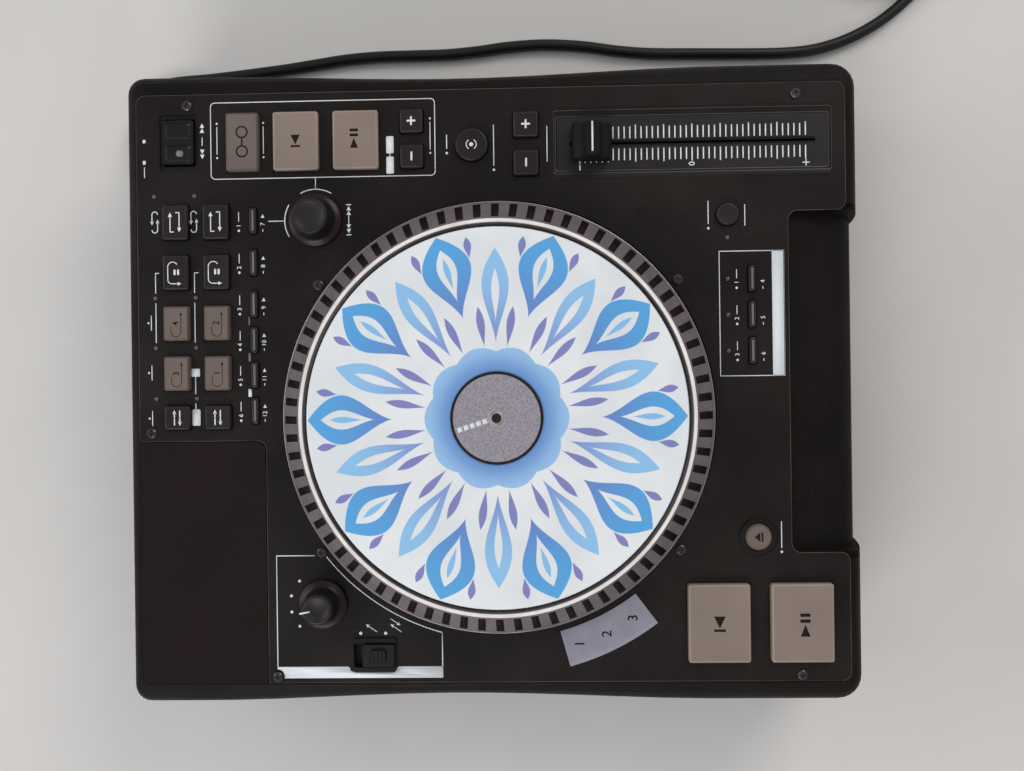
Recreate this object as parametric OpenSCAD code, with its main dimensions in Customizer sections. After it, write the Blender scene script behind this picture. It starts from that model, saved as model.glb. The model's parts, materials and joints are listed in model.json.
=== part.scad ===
// Tabletop disc player for a disc jockey, with a motor-driven platter and a front loading slot.
// Millimetres. +X is the user's right, -Y the front that faces the user, +Z up.
// The origin is on the floor, under the middle of the player's own box.

/* [Case] */
// Width across the side cheeks
case_w = 306; // [304:1:330]
// Depth from the front corners to the rear edge
case_d = 352.5; // [351:0.5:380]
// Height of the control panel's top face above the floor
panel_z = 83; // [82:0.5:95]
// Thickness of the case walls
wall = 3; // [2.4:0.1:4]
// Radius of the front corners
front_corner = 12; // [8:1:15]
// Radius of the rear corners
rear_corner = 8; // [6:1:12]
// How far each side is drawn in at its waist
waist = 3.6; // [0:0.1:4.5]
// Half length of the drawn-in part of a side
waist_reach = 125; // [90:1:140]
// Place of the waist's middle along the depth
waist_y = 13; // [0:1:25]
// Width of the rounded rim beside the panel
rim_side = 11.5; // [10:0.1:13]
// Width of the rim in front of the panel
rim_front = 7.3; // [6.5:0.1:9]
// Width of the rim behind the panel
rim_rear = 6.9; // [6.5:0.1:9]
// Height of the rounded shoulder
shoulder_h = 13; // [8:0.5:18]
// Thickness of the ledge that carries the panel
ledge_t = 3; // [2:0.1:4]
// Clearance round the panel, the window and the plates let into it
seam = 0.2; // [0.1:0.05:0.4]

/* [Feet and base] */
// Height of the rubber feet
foot_h = 6; // [4:0.5:10]
// Radius of the rubber feet
foot_r = 11; // [8:0.5:14]
// Thickness of the steel base plate
base_t = 1.5; // [1:0.1:2]
// Length of the jack barrels behind the case
jack_reach = 4.5; // [3:0.5:8]

/* [Panel] */
// Thickness of the top panel
panel_t = 3; // [2.5:0.1:4]
// Radius of the panel's corners
panel_corner = 4.5; // [3:0.5:6]
// Width of the lowered ledge at the front
notch_w = 161; // [150:1:165]
// Depth of the lowered ledge, from the panel's front edge
notch_d = 27.2; // [24:0.1:27.5]
// How far the front wall steps back under the ledge
notch_step = 4.2; // [3:0.1:5]
// How far the ledge's sides lean inwards on their way down
notch_lean = 3.5; // [0:0.1:5]
// Clearance between a key and its hole
key_gap = 0.4; // [0.3:0.05:0.6]
// Travel of a key
key_travel = 0.8; // [0.5:0.1:1]
// Radius of the panel screws' heads
screw_head_r = 2.4; // [2:0.1:2.8]

/* [Platter] */
// Sideways place of the platter's axis
platter_x = -15; // [-18:0.5:-12]
// Place of the platter's axis along the depth
platter_y = -6; // [-8:0.5:-4]
// Radius of the opening that the platter stands in
well_r = 103.2; // [103:0.1:104]
// Clearance between the platter and its opening
platter_gap = 2; // [1.6:0.1:4]
// Height of the platter's mat above the panel
platter_rise = 18.5; // [16:0.5:22]
// Width of the sloped band that carries the strobe marks
mark_band = 9.9; // [9.2:0.1:10.4]
// Distance from the polished ring's outer edge to the control disc, a seven inch record
disc_gap = 3.8; // [3.4:0.1:11]
// Thickness of the control disc
disc_t = 1.8; // [1.2:0.1:2.4]
// Radius of the disc's centre label
label_r = 21.3; // [18:0.1:25]
// Radius of the spindle
spindle_r = 3.5; // [3:0.05:3.6]
// Running clearance on the spindle
spindle_fit = 0.05; // [0.03:0.01:0.08]
// How far the spindle stands above the disc
spindle_over = 2.7; // [2:0.1:5]

/* [Keys] */
// Width of the large cue and play keys
big_key_w = 37; // [34:0.5:38]
// Depth of the large cue and play keys
big_key_d = 29.2; // [26:0.2:30]
// Width of the second track's keys
second_key_w = 28; // [24:0.5:28.5]
// Depth of the second track's cue and play keys
second_key_d = 21.8; // [18:0.2:23]
// Depth of the second track's mode key
mode_key_d = 15.8; // [14:0.2:17]
// Side of a pitch bend key
bend_key = 12; // [10:0.2:13]
// Width of a loop key
loop_key_w = 16.6; // [14:0.2:18]
// Depth of a loop key
loop_key_d = 12.4; // [10:0.2:14]
// Width of a flip key
flip_key_w = 11.5; // [9:0.2:13]
// Width of a thin function key
thin_key_w = 12.6; // [10:0.2:13.5]
// Depth of a thin function key
thin_key_d = 3.6; // [3:0.1:4.4]
// Radius of the tap button
tap_r = 7.8; // [6:0.1:9]
// Radius of the eject button
eject_r = 6.3; // [5:0.1:7]
// Radius of the pitch button
pitch_button_r = 5.3; // [4:0.1:6.5]
// Height of a key above the panel
key_rise = 2.6; // [1.5:0.1:4]
// Height of a thin key above the panel
thin_key_rise = 1.6; // [1:0.1:3]
// Height of a large key above the panel
big_key_rise = 3.6; // [2:0.1:5]

/* [Knobs and slides] */
// Radius of the parameter knob's skirt
knob_r = 12.8; // [11:0.1:13]
// Height of the parameter knob
knob_h = 14; // [10:0.5:18]
// Radius of the selector knob's skirt
selector_r = 11.8; // [10:0.1:12]
// Height of the selector knob
selector_h = 14; // [10:0.5:18]
// Length of the pitch fader's travel
fader_travel = 100; // [80:1:102]
// How far the fader stands from the minus end of its travel
fader_from_end = 2.3; // [1:0.1:20]
// Length of the fader cap along the travel
cap_l = 18.6; // [14:0.2:20]
// Width of the fader cap
cap_w = 19.3; // [15:0.1:21]
// Height of the fader cap
cap_h = 12; // [8:0.5:15]
// Travel of the scratch switch
switch_travel = 4; // [2:0.5:4.5]
// Radius of the knobs' shafts
shaft_r = 3; // [2.5:0.1:3.2]

/* [Disc drive] */
// Width of the loading slot
slot_w = 128; // [124:1:134]
// Height of the loading slot
slot_h = 5; // [4.6:0.1:7]
// Height of the slot's lower edge above the floor
slot_z = 34; // [32:0.5:38]

/* [Mains lead] */
// Diameter of the mains lead
cord_d = 6; // [5.5:0.1:6.2]
// Mean radius of the coiled part
coil_r = 35; // [33:0.5:36]

/* [Hidden] */
$fn = 48;
gap = 0.3;
plate_gap = 0.5;
front_y = -(case_d + jack_reach) / 2;
rear_y = front_y + case_d;
half_w = case_w / 2;
panel_w = case_w - 2 * rim_side;
panel_r = panel_w / 2;
panel_f = front_y + rim_front;
panel_b = rear_y - rim_rear;
panel_d = panel_b - panel_f;
panel_y = (panel_b + panel_f) / 2;
panel_u = panel_z - panel_t;
case_z = foot_h;
base_top = foot_h + base_t;
rim_top = panel_z - 0.4;
shoulder_z = rim_top - shoulder_h;
rim_land = 0.93;
ledge_side = 7;
ledge_front = 4.7;
ledge_back = 4.1;
ledge_z = panel_u - ledge_t;
platter = [platter_x, platter_y, 0];
platter_r = well_r - platter_gap;
ring_r = platter_r - mark_band;
disc_r = ring_r - disc_gap;
recess_r = disc_r + 1.9;
mat_r = recess_r - 0.7;

// The rounded outline: f is 0 at the outer wall and 1 at the panel's edge, d is an inset.
side_steps = 16;
shoulder_steps = 6;
corner_steps = 6;
function mix(a, b, f) = a + (b - a) * f;
function drawn_in(y) = abs(y - waist_y) < waist_reach
    ? (1 + cos(180 * (y - waist_y) / waist_reach)) / 2 : 0;
function side_x(y) = half_w - waist * drawn_in(y);
function corner(cx, cy, r, a0, z) =
    [for (i = [1 : corner_steps - 1]) let (a = a0 + 90 * i / corner_steps)
        [cx + r * cos(a), cy + r * sin(a), z]];
function side(x, pull, ya, yb, z) =
    [for (i = [0 : side_steps]) let (y = mix(ya, yb, i / side_steps))
        [x - sign(x) * pull * drawn_in(y), y, z]];
function outline(f, z, d = 0) =
    let (hw = half_w - f * (rim_side - seam) - d,
         y0 = front_y + f * (rim_front - seam) + d,
         y1 = rear_y - f * (rim_rear - seam) - d,
         rf = mix(front_corner, panel_corner, f) - d / 2,
         rb = mix(rear_corner, panel_corner, f) - d / 2,
         pull = waist * (1 - f))
    concat(
        side(hw, pull, y0 + rf, y1 - rb, z),
        corner(hw - rb, y1 - rb, rb, 0, z),
        [[hw - rb, y1, z], [rb - hw, y1, z]],
        corner(rb - hw, y1 - rb, rb, 90, z),
        side(-hw, pull, y1 - rb, y0 + rf, z),
        corner(rf - hw, y0 + rf, rf, 180, z),
        [[rf - hw, y0, z], [hw - rf, y0, z]],
        corner(hw - rf, y0 + rf, rf, 270, z));

// A closed skin over a stack of rings that all have the same number of points.
// Each end is closed by a fan about its ring's middle.
function middle(ring) = [for (axis = [0 : 2]) let (c = [for (p = ring) p[axis]]) (min(c) + max(c)) / 2];

module skin(rings) {
    n = len(rings[0]);
    last = len(rings) - 1;
    low = len(rings) * n;
    polyhedron(
        points = concat([for (ring = rings) for (p = ring) p], [middle(rings[0]), middle(rings[last])]),
        faces = concat(
            [for (j = [0 : n - 1]) [low, j, (j + 1) % n]],
            [for (j = [0 : n - 1]) [low + 1, last * n + (j + 1) % n, last * n + j]],
            [for (i = [0 : last - 1]) for (j = [0 : n - 1]) let (k = (j + 1) % n) each [
                [i * n + j, (i + 1) * n + j, (i + 1) * n + k],
                [i * n + j, (i + 1) * n + k, i * n + k]]]));
}

// A flat rounded rectangle about the origin
module rounded(w, d, r) {
    square([w - 2 * r, d], center = true);
    square([w, d - 2 * r], center = true);
    for (x = [-1, 1], y = [-1, 1])
        translate([x * (w / 2 - r), y * (d / 2 - r)]) circle(r, $fn = 24);
}

module block(x0, x1, y0, y1, z0, z1) {
    translate([x0, y0, z0]) cube([x1 - x0, y1 - y0, z1 - z0]);
}

module slab(z, t) {
    translate([0, 0, z]) linear_extrude(t) children();
}

module post(x, y, r, z0, z1) {
    translate([x, y, z0]) cylinder(h = z1 - z0, r = r, $fn = 32);
}

// Places on the panel, measured from its edges, so that they follow the case
second_x = panel_r - 23.7;
mode_y = panel_b - 52.1;
second_cue_y = panel_b - 77.8;
second_play_y = panel_b - 106.5;
second_bend_y = panel_b - 133.3;
second_bend_dx = 8.4;
second_bend_key = bend_key - 1;
tap_at = [panel_r - 27.1, panel_b - 161.8];
bend_x = panel_r - 27;
bend_dx = 9.1;
bend_y = panel_b - 187.7;
search_at = [panel_r - 23.1, panel_b - 20.9];
search_w = 21.8;
search_d = 14.7;
search_stem_x = 6.4;
knob_at = [panel_r - 61.5, panel_b - 86.6];
row_a_y = panel_b - 19.2;
row_b_y = panel_b - 38.8;
loop_x = [panel_r - 61.6, panel_r - 85.6, panel_r - 110, panel_r - 134, panel_r - 155.2];
thin_y = panel_b - 56.5;
thin_x = [for (dx = [61.2, 81.3, 101.2, 118.3, 135.1, 152.3]) panel_r - dx];
pitch_at = [panel_r - 62.1, panel_f + 55.9];
platter_key_y = panel_f + 44.7;
platter_key_x = [for (i = [0 : 2]) panel_r - 92.5 - 17.05 * i];
platter_lamp_y = panel_f + 56;
pitch_lamp = [panel_r - 73, panel_f + 55.9];
eject_at = [68.4 - panel_r, panel_f + 43.3];
eject_collar_r = eject_r + 3;
big_x = 28 - panel_r;
big_cue_y = panel_f + 62.3;
big_play_y = panel_f + 23.4;
selector_at = [37.9 - panel_r, panel_b - 87.9];
selector_rest = 15;
switch_at = [13.3 - panel_r, panel_b - 112.4];
switch_key = [10.6, 15.2];
switch_hole = [switch_key[0] + 1, switch_key[1] + switch_travel + 0.6];
switch_off = -switch_travel / 2;
window_gap = 6.05;
window_w = loop_x[4] - flip_key_w / 2 - window_gap + panel_r;
window_d = 61;
fader_x = panel_r - 27.1;
fader_y = panel_f + 71.9;
fader_box = [34, 131.5];
fader_plate = [30, 128];
fader_rest_y = fader_y + fader_travel / 2 - fader_from_end;
fader_slot_w = 2.8;
blade = [1.6, 8];
well_t = 1;
well_z = panel_z - 9;
well_floor_t = 2;

// Screws that hold the panel: corners into the case, the inner four into the board's pillars
pillar = [64, 85.5];
case_screws = [[panel_r - 5.5, panel_b - 25.1], [panel_r - 5.5, panel_f + 23.2],
    [3 - panel_r, panel_f + 23.2], [3.1 - panel_r, panel_b - 65.8], [-21, panel_b - 6.1]];
pillar_screws = [for (x = [-1, 1], y = [-1, 1])
    [platter_x + x * pillar[0], platter_y + y * pillar[1]]];
screw_r = 1.15;
screw_fit = 0.05;
screw_hole_r = screw_r + 0.25;
screw_l = 12;
boss_r = 4;
pillar_r = 2.3;

// Each key: name, centre x, centre y, width, depth, height above the panel, and true if it is pale.
// A depth of 0 makes a round button, and the width is then its radius.
KEYS = concat(
    [for (row = [0, 1]) let (y = row == 0 ? row_a_y : row_b_y, s = row == 0 ? "a" : "b") each [
        [str("exit_key_", s), loop_x[0], y, loop_key_w, loop_key_d, key_rise],
        [str("loop_end_key_", s), loop_x[1], y, loop_key_w, loop_key_d, key_rise],
        [str("hot_key_high_", s), loop_x[2], y, loop_key_w, loop_key_d, key_rise, true],
        [str("hot_key_low_", s), loop_x[3], y, loop_key_w, loop_key_d, key_rise, true],
        [str("flip_key_", s), loop_x[4], y, flip_key_w, loop_key_d, key_rise]]],
    [for (i = [0 : 5]) [str("function_key_", i + 1), thin_x[i], thin_y,
        thin_key_w, thin_key_d, thin_key_rise]],
    [for (i = [0 : 2]) [str("platter_mode_key_", i + 1), platter_key_x[i], platter_key_y,
        thin_key_w, thin_key_d, thin_key_rise]],
    [["mode_key", second_x, mode_y, second_key_w, mode_key_d, key_rise, true],
     ["second_cue_key", second_x, second_cue_y, second_key_w, second_key_d, key_rise, true],
     ["second_play_key", second_x, second_play_y, second_key_w, second_key_d, key_rise, true],
     ["second_bend_up_key", second_x + second_bend_dx, second_bend_y, second_bend_key, second_bend_key,
        key_rise],
     ["second_bend_down_key", second_x - second_bend_dx, second_bend_y, second_bend_key, second_bend_key,
        key_rise],
     ["bend_up_key", bend_x + bend_dx, bend_y, bend_key, bend_key, key_rise],
     ["bend_down_key", bend_x - bend_dx, bend_y, bend_key, bend_key, key_rise],
     ["tap_button", tap_at[0], tap_at[1], tap_r, 0, key_rise],
     ["pitch_button", pitch_at[0], pitch_at[1], pitch_button_r, 0, key_rise],
     ["eject_button", eject_at[0], eject_at[1], eject_r, 0, key_rise, true],
     ["cue_button", big_x, big_cue_y, big_key_w, big_key_d, big_key_rise, true],
     ["play_button", big_x, big_play_y, big_key_w, big_key_d, big_key_rise, true]]);

key_corner = 1.2;
key_flange = 0.9;
stem_r = 1.6;
flange_t = 1.5;
key_edge = 0.5;
board_z = ledge_z - 9;
board_t = 1.6;
board_top = board_z + board_t;
tact_side = 6;
tact_h = 3.4;
plunger_r = 1.7;
plunger_h = 1;
switch_top = board_top + tact_h + plunger_h;
stem_z = switch_top + key_travel + 0.1;
flange_z = panel_u - gap - flange_t;

module key_shape(k, grow = 0) {
    translate([k[1], k[2]])
        if (k[4] == 0) circle(k[3] + grow);
        else rounded(k[3] + 2 * grow, k[4] + 2 * grow, key_corner + max(grow, 0) / 2);
}

module key_cap(k) {
    top = panel_z + k[5];
    shrink = k[4] == 0 ? [1 - key_edge / k[3], 1 - key_edge / k[3]]
        : [1 - 2 * key_edge / k[3], 1 - 2 * key_edge / k[4]];
    color(k[6] == true ? [0.55, 0.5, 0.47] : [0.14, 0.13, 0.13]) {
        slab(flange_z, flange_t) key_shape(k, key_flange);
        slab(flange_z, top - key_edge - flange_z) key_shape(k);
        translate([k[1], k[2], top - key_edge]) linear_extrude(key_edge, scale = shrink, slices = 1)
            translate([-k[1], -k[2]]) key_shape(k);
        post(k[1], k[2], stem_r, stem_z, flange_z);
    }
}

// ---- Case ----

module outer_body() {
    skin(concat([outline(0, case_z)],
        [for (i = [0 : shoulder_steps]) let (a = 90 * i / shoulder_steps)
            outline((1 - cos(a)) * rim_land, shoulder_z + shoulder_h * sin(a))]));
}

notch_y = panel_f + notch_d;
notch_wall_y = front_y + notch_step;

// The ledge slopes gently, turns down over a brow and meets the front wall. Each point of the brow is
// [distance behind the front wall, depth under the panel's top, share of the wall's thickness along each].
brow = [[8, 7.5, 0.2, 1.1], [2.8, 11.5, 0.7, 0.7], [0, 19, 1, 0.2]];
ledge_land = 3;
ledge_profile = concat([[notch_y + ledge_land, panel_u - 0.1]],
    [for (b = brow) [notch_wall_y + b[0], panel_z - b[1]]],
    [[notch_wall_y, case_z], [notch_y + ledge_land, case_z]]);
ledge_inside = concat([[notch_y + ledge_land + 1, ledge_z], [notch_y - 1, ledge_z]],
    [for (b = brow) [notch_wall_y + b[0] + wall * b[2], panel_z - b[1] - wall * b[3]]],
    [[notch_wall_y + wall, case_z - 1], [notch_y + ledge_land + 1, case_z - 1]]);
notch_side = [[notch_w / 2 + wall, case_z - 1], [notch_w / 2 + wall, panel_u], [notch_w / 2, panel_u],
    [notch_w / 2 - notch_lean, panel_z - brow[2][1]], [notch_w / 2 - notch_lean, case_z - 1]];
rear_open_w = case_w - 38;
rear_open_z = [foot_h + 8, ledge_z - 13];
boss_in = wall + 4.2;
boss_h = 14;
base_boss = [for (y = [front_y + 28, waist_y, rear_y - 34]) for (s = [-1, 1]) [s, y]];
function boss_x(b) = b[0] * (side_x(b[1]) - boss_in);

module along_x(w, points) {
    rotate([90, 0, 90]) slab(-w / 2, w) polygon(points);
}

module case_shell() {
    ledge_x = panel_r - ledge_side;
    color([0.13, 0.12, 0.11]) difference() {
        union() {
            difference() {
                outer_body();
                skin([outline(0, case_z - 1, wall), outline(0, ledge_z, wall)]);
                skin([outline(1, panel_u), outline(1, panel_z + 1)]);
                block(-ledge_x, ledge_x, panel_f + ledge_front, panel_b - ledge_back, ledge_z - 1, panel_z);
                block(-notch_w / 2 - wall, notch_w / 2 + wall, front_y - 1, notch_y + 1, case_z - 1, panel_z);
            }
            intersection() {
                outer_body();
                for (m = [0, 1]) mirror([m, 0, 0]) translate([0, notch_y + ledge_land, 0])
                    rotate([90, 0, 0]) linear_extrude(notch_y + ledge_land + 1 - front_y) polygon(notch_side);
            }
            difference() {
                along_x(notch_w, ledge_profile);
                along_x(notch_w - 0.02, ledge_inside);
            }
            for (p = case_screws) post(p[0], p[1], boss_r, ledge_z - boss_h + 2, panel_u);
            for (b = base_boss) post(boss_x(b), b[1], base_boss_r, base_top, base_top + boss_h);
        }
        translate([0, 0, slot_z]) block(-slot_w / 2, slot_w / 2, front_y, notch_wall_y + wall + 1, 0, slot_h);
        block(-rear_open_w / 2, rear_open_w / 2, rear_y - wall - 1, rear_y + 1, rear_open_z[0], rear_open_z[1]);
        for (p = case_screws) post(p[0], p[1], screw_r + screw_fit, panel_z - screw_l - 1, panel_z);
        for (b = base_boss) post(boss_x(b), b[1], base_screw_r + screw_fit, case_z, base_top + boss_h - 3);
    }
}

// ---- Base, feet and screws ----

base_screw_r = 1.5;
base_screw_l = 10;
base_head = [2.8, 1.6];
base_boss_r = 5;
drive_z = foot_h + 10;
main_board_z = foot_h + 6;
board_inset = 5;
main_board_box = [-126, 66, -10, 150];
power_board_box = [74, 128, -10, 120];
foot_inset = 30;
foot_at = [for (x = [-1, 1], y = [front_y + foot_inset, rear_y - foot_inset])
    [x * (half_w - foot_inset), y]];
vent = [3, 36];
vent_pitch = 8;
vent_count = 12;
function corners_of(b, e) = [for (x = [b[0] + e, b[1] - e], y = [b[2] + e, b[3] - e]) [x, y]];

module base_plate() {
    color([0.1, 0.1, 0.1]) difference() {
        union() {
            skin([outline(0, case_z, wall + gap), outline(0, base_top, wall + gap)]);
            for (p = corners_of(drive_box, board_inset + 3)) post(p[0], p[1], 4, base_top - 0.5, drive_z);
            for (b = [main_board_box, power_board_box], p = corners_of(b, board_inset))
                post(p[0], p[1], 3, base_top - 0.5, main_board_z);
        }
        block(-notch_w / 2, notch_w / 2, front_y - 1, notch_wall_y + wall + gap, 0, base_top + 1);
        for (m = [0, 1]) mirror([m, 0, 0])
            block(notch_w / 2 - notch_lean - gap, notch_w / 2 + wall + gap, front_y - 1,
                notch_y + ledge_land + gap, 0, base_top + 1);
        for (b = base_boss) post(boss_x(b), b[1], base_screw_r + 0.25, 0, base_top + 1);
        for (i = [0 : vent_count - 1]) translate([-110 + vent_pitch * i, 60, 0])
            linear_extrude(base_top + 1) rounded(vent[0], vent[1], vent[0] / 2 - 0.1);
    }
}

foot_dish = 0.6;

module rubber_feet() {
    color([0.06, 0.06, 0.06]) for (p = foot_at)
        translate([p[0], p[1], 0]) rotate_extrude()
            polygon([[0, foot_dish], [foot_r - 4, foot_dish], [foot_r - 4 + foot_dish, 0], [foot_r - 1, 0],
                [foot_r, 1], [foot_r - 0.8, foot_h], [0, foot_h]]);
}

module cross_recess(r, z0, z1) {
    for (a = [0, 90]) rotate(a) block(-r, r, -0.35, 0.35, z0, z1);
}

module top_screw(p) {
    translate([p[0], p[1], panel_z]) difference() {
        union() {
            cylinder(h = 0.7, r = screw_head_r);
            translate([0, 0, 0.7]) cylinder(h = 0.5, r1 = screw_head_r, r2 = screw_head_r * 0.7);
            translate([0, 0, -screw_l]) cylinder(h = screw_l, r = screw_r, $fn = 24);
        }
        cross_recess(screw_head_r * 0.6, 0.4, 2);
    }
}

module screws() {
    color([0.2, 0.19, 0.18]) {
        for (p = concat(case_screws, pillar_screws)) top_screw(p);
        for (b = base_boss) translate([boss_x(b), b[1], case_z]) difference() {
            union() {
                translate([0, 0, -base_head[1]]) cylinder(h = base_head[1], r = base_head[0]);
                cylinder(h = base_screw_l, r = base_screw_r, $fn = 24);
            }
            cross_recess(base_head[0] * 0.6, -base_head[1] - 1, -base_head[1] / 2);
        }
    }
}

// ---- Top panel and what is let into it ----

sector = [195.3, 217];
sector_gap = 2.8;
sector_w = 17.4;
sector_r = [well_r + sector_gap, well_r + sector_gap + sector_w];
sector_foot = 1.3;
sector_end = 0.7;
lamp_r = 0.9;
lamp_over = 10.6;
lamps = concat(
    [for (x = [loop_x[0] + 12.8, loop_x[2] + 12.4, loop_x[3] + 12.4, loop_x[3] - 12])
        for (y = [row_a_y, row_b_y]) [x, y + lamp_over]],
    [for (x = platter_key_x) [x, platter_lamp_y]], [pitch_lamp]);

module ring_sector(r0, r1, a0, a1) {
    difference() {
        intersection() {
            circle(r1, $fn = 180);
            polygon([[0, 0], [2 * r1 * cos(a0), 2 * r1 * sin(a0)], [2 * r1 * cos(a1), 2 * r1 * sin(a1)]]);
        }
        circle(r0, $fn = 180);
    }
}

module window_shape(grow = 0) {
    w = window_w + grow;
    d = window_d + grow;
    translate([w / 2 - panel_r, panel_b - d / 2]) {
        rounded(w, d, panel_corner);
        translate([w / 2 - 8, d / 2 - 8]) square(8);
        translate([-w / 2, -d / 2]) square(8);
    }
}

module notch_outline() {
    edge = notch_w / 2 + seam;
    d = 2 * notch_d;
    translate([0, notch_y - d / 2]) rounded(2 * edge, d, panel_corner);
    for (s = [-1, 1]) difference() {
        translate([s * edge, panel_f]) square(2 * panel_corner, center = true);
        translate([s * (edge + panel_corner), panel_f + panel_corner]) circle(panel_corner);
    }
}

module top_panel() {
    color([0.11, 0.1, 0.095]) {
        difference() {
            slab(panel_u, panel_t) difference() {
                translate([0, panel_y]) rounded(panel_w, panel_d, panel_corner);
                notch_outline();
                window_shape(seam);
                translate([platter_x, platter_y]) {
                    circle(well_r, $fn = 180);
                    ring_sector(sector_r[0] - seam, sector_r[1] + seam, sector[0] - 0.1, sector[1] + 0.1);
                }
                for (k = KEYS) key_shape(k, key_gap);
                for (p = [knob_at, selector_at]) translate(p) circle(shaft_r + 0.6);
                translate(search_at) rounded(search_w + 2 * plate_gap, search_d + 2 * plate_gap, 1.2);
                translate(switch_at) rounded(switch_hole[0], switch_hole[1], 1);
                translate([fader_x, fader_y]) rounded(fader_plate[0] + 2 * seam, fader_plate[1] + 2 * seam, 2);
                for (p = concat(case_screws, pillar_screws)) translate(p) circle(screw_hole_r, $fn = 24);
                for (p = lamps) translate(p) circle(lamp_r + 0.15, $fn = 24);
            }
            translate([fader_x, fader_y, panel_z - 1]) linear_extrude(2) rounded(fader_box[0], fader_box[1], 2);
            translate([search_at[0], search_at[1], panel_z - 0.6]) linear_extrude(2)
                rounded(search_w + 5, search_d + 4, 1.4);
        }
        translate(platter) difference() {
            translate([0, 0, well_z - well_floor_t]) cylinder(h = panel_z - well_z, r = well_r + well_t, $fn = 180);
            translate([0, 0, well_z]) cylinder(h = panel_z, r = well_r, $fn = 180);
            translate([0, 0, well_z - 5]) cylinder(h = 20, r = motor_r + 1);
        }
        translate([eject_at[0], eject_at[1], panel_z]) difference() {
            cylinder(h = 1.2, r1 = eject_collar_r, r2 = eject_collar_r - 1);
            translate([0, 0, -1]) cylinder(h = 3, r = eject_r + key_gap);
        }
        translate([switch_at[0], switch_at[1], panel_z]) linear_extrude(1) difference() {
            rounded(switch_hole[0] + 4.4, switch_hole[1] + 0.6, 1.2);
            rounded(switch_hole[0], switch_hole[1], 1);
        }
    }
}

module display_window() {
    color([0.2, 0.12, 0.14, 0.8]) slab(panel_u, panel_t) intersection() {
        translate([0, panel_y]) rounded(panel_w, panel_d, panel_corner);
        window_shape(-seam);
    }
}

screen_left = 8;
screen_right = 7;
screen_front = 6;
screen_rear = 10;
screen_frame = 5;
screen_depth = 1.5;

module display_module() {
    x0 = screen_left - panel_r;
    x1 = window_w - panel_r - screen_right;
    y0 = panel_b - window_d + screen_front;
    y1 = panel_b - screen_rear;
    top = panel_u - gap;
    color([0.16, 0.17, 0.18]) difference() {
        block(x0, x1, y0, y1, board_top, top);
        block(x0 + screen_frame, x1 - screen_frame, y0 + screen_frame + 1, y1 - screen_frame - 1,
            top - screen_depth, top + 1);
    }
}

module source_indicator() {
    color([0.5, 0.5, 0.58]) translate(platter) {
        slab(panel_u - 1.5, 1.5)
            ring_sector(sector_r[0] - sector_foot, sector_r[1], sector[0], sector[1] + sector_end);
        slab(panel_u - 0.1, panel_t + 0.5)
            ring_sector(sector_r[0], sector_r[1], sector[0], sector[1]);
    }
}

// ---- Boards ----

board_rear = panel_b - 6;
board_x = panel_r - 8;
board_hole_r = 92;
encoder_top = ledge_z - 0.5;
bush_w = 6.5;
bush_base_h = 5;
bush_r = 5;
slide_body = [5, 9, 4];

module tact_switch(x, y) {
    h = tact_side / 2;
    block(x - h, x + h, y - h, y + h, board_top, board_top + tact_h);
    post(x, y, plunger_r, board_top + tact_h, switch_top);
}

module shaft_bush(p) {
    difference() {
        union() {
            translate([p[0], p[1], board_top]) block(-bush_w, bush_w, -bush_w, bush_w, 0, bush_base_h);
            post(p[0], p[1], bush_r, board_top + bush_base_h, encoder_top);
        }
        post(p[0], p[1], shaft_r + spindle_fit, board_top + 0.8, panel_z);
    }
}

module circuit_boards() {
    color([0.1, 0.28, 0.16]) {
        difference() {
            block(-board_x, board_x, panel_f + 8, board_rear, board_z, board_top);
            translate(platter) post(0, 0, board_hole_r, 0, panel_z);
            block(-notch_w / 2 - wall - 1, notch_w / 2 + wall + 1, front_y, notch_y + 4, 0, panel_z);
            translate([fader_x, fader_y, 0]) linear_extrude(panel_z)
                square([track_w + 2, track_l + 2], center = true);
            for (p = case_screws) post(p[0], p[1], boss_r + 0.5, 0, panel_z);
        }
        for (k = KEYS) tact_switch(k[1], k[2]);
        for (s = [-1, 1]) tact_switch(search_at[0] + s * search_stem_x, search_at[1]);
        for (p = [knob_at, selector_at]) shaft_bush(p);
        translate([switch_at[0], switch_at[1], board_top])
            block(-slide_body[0], slide_body[0], -slide_body[1], slide_body[1], 0, slide_body[2]);
        for (p = lamps) post(p[0], p[1], lamp_r, board_top, panel_z + 0.3);
        for (p = pillar_screws) difference() {
            post(p[0], p[1], pillar_r, board_top, panel_u);
            post(p[0], p[1], screw_r + screw_fit, board_top + 0.5, panel_z);
        }
        board_with_parts(main_board_box);
        board_with_parts(power_board_box);
    }
}

module board_with_parts(b) {
    top = main_board_z + board_t;
    w = b[1] - b[0];
    d = b[3] - b[2];
    block(b[0], b[1], b[2], b[3], main_board_z, top);
    block(b[0] + w * 0.2, b[0] + w * 0.5, b[2] + d * 0.3, b[2] + d * 0.5, top, top + 3);
    if (w < 100) block(b[0] + 8, b[1] - 8, b[2] + d * 0.6, b[2] + d * 0.9, top, top + 30);
    for (i = [0 : 4]) post(b[0] + 12 + i * w * 0.17, b[2] + 14, w < 100 ? 4 : 6, top, top + 16);
}

// ---- Disc drive, motor and platter ----

drive_half_w = 74;
drive_box = [-drive_half_w, drive_half_w, notch_wall_y + wall + 0.6, -24];
drive_top = 50;
disc_bay_w = 126;
bay_fit = 0.2;
lid_edge = 8;

module disc_drive() {
    color([0.45, 0.45, 0.46]) difference() {
        block(drive_box[0], drive_box[1], drive_box[2], drive_box[3], drive_z, drive_top);
        block(-disc_bay_w / 2, disc_bay_w / 2, drive_box[2] - 1, drive_box[3] - 10,
            slot_z - bay_fit, slot_z + slot_h + bay_fit);
        block(drive_box[0] + lid_edge, drive_box[1] - lid_edge, drive_box[2] + lid_edge, drive_box[3] - lid_edge,
            drive_top - 2, drive_top + 1);
    }
}

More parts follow.
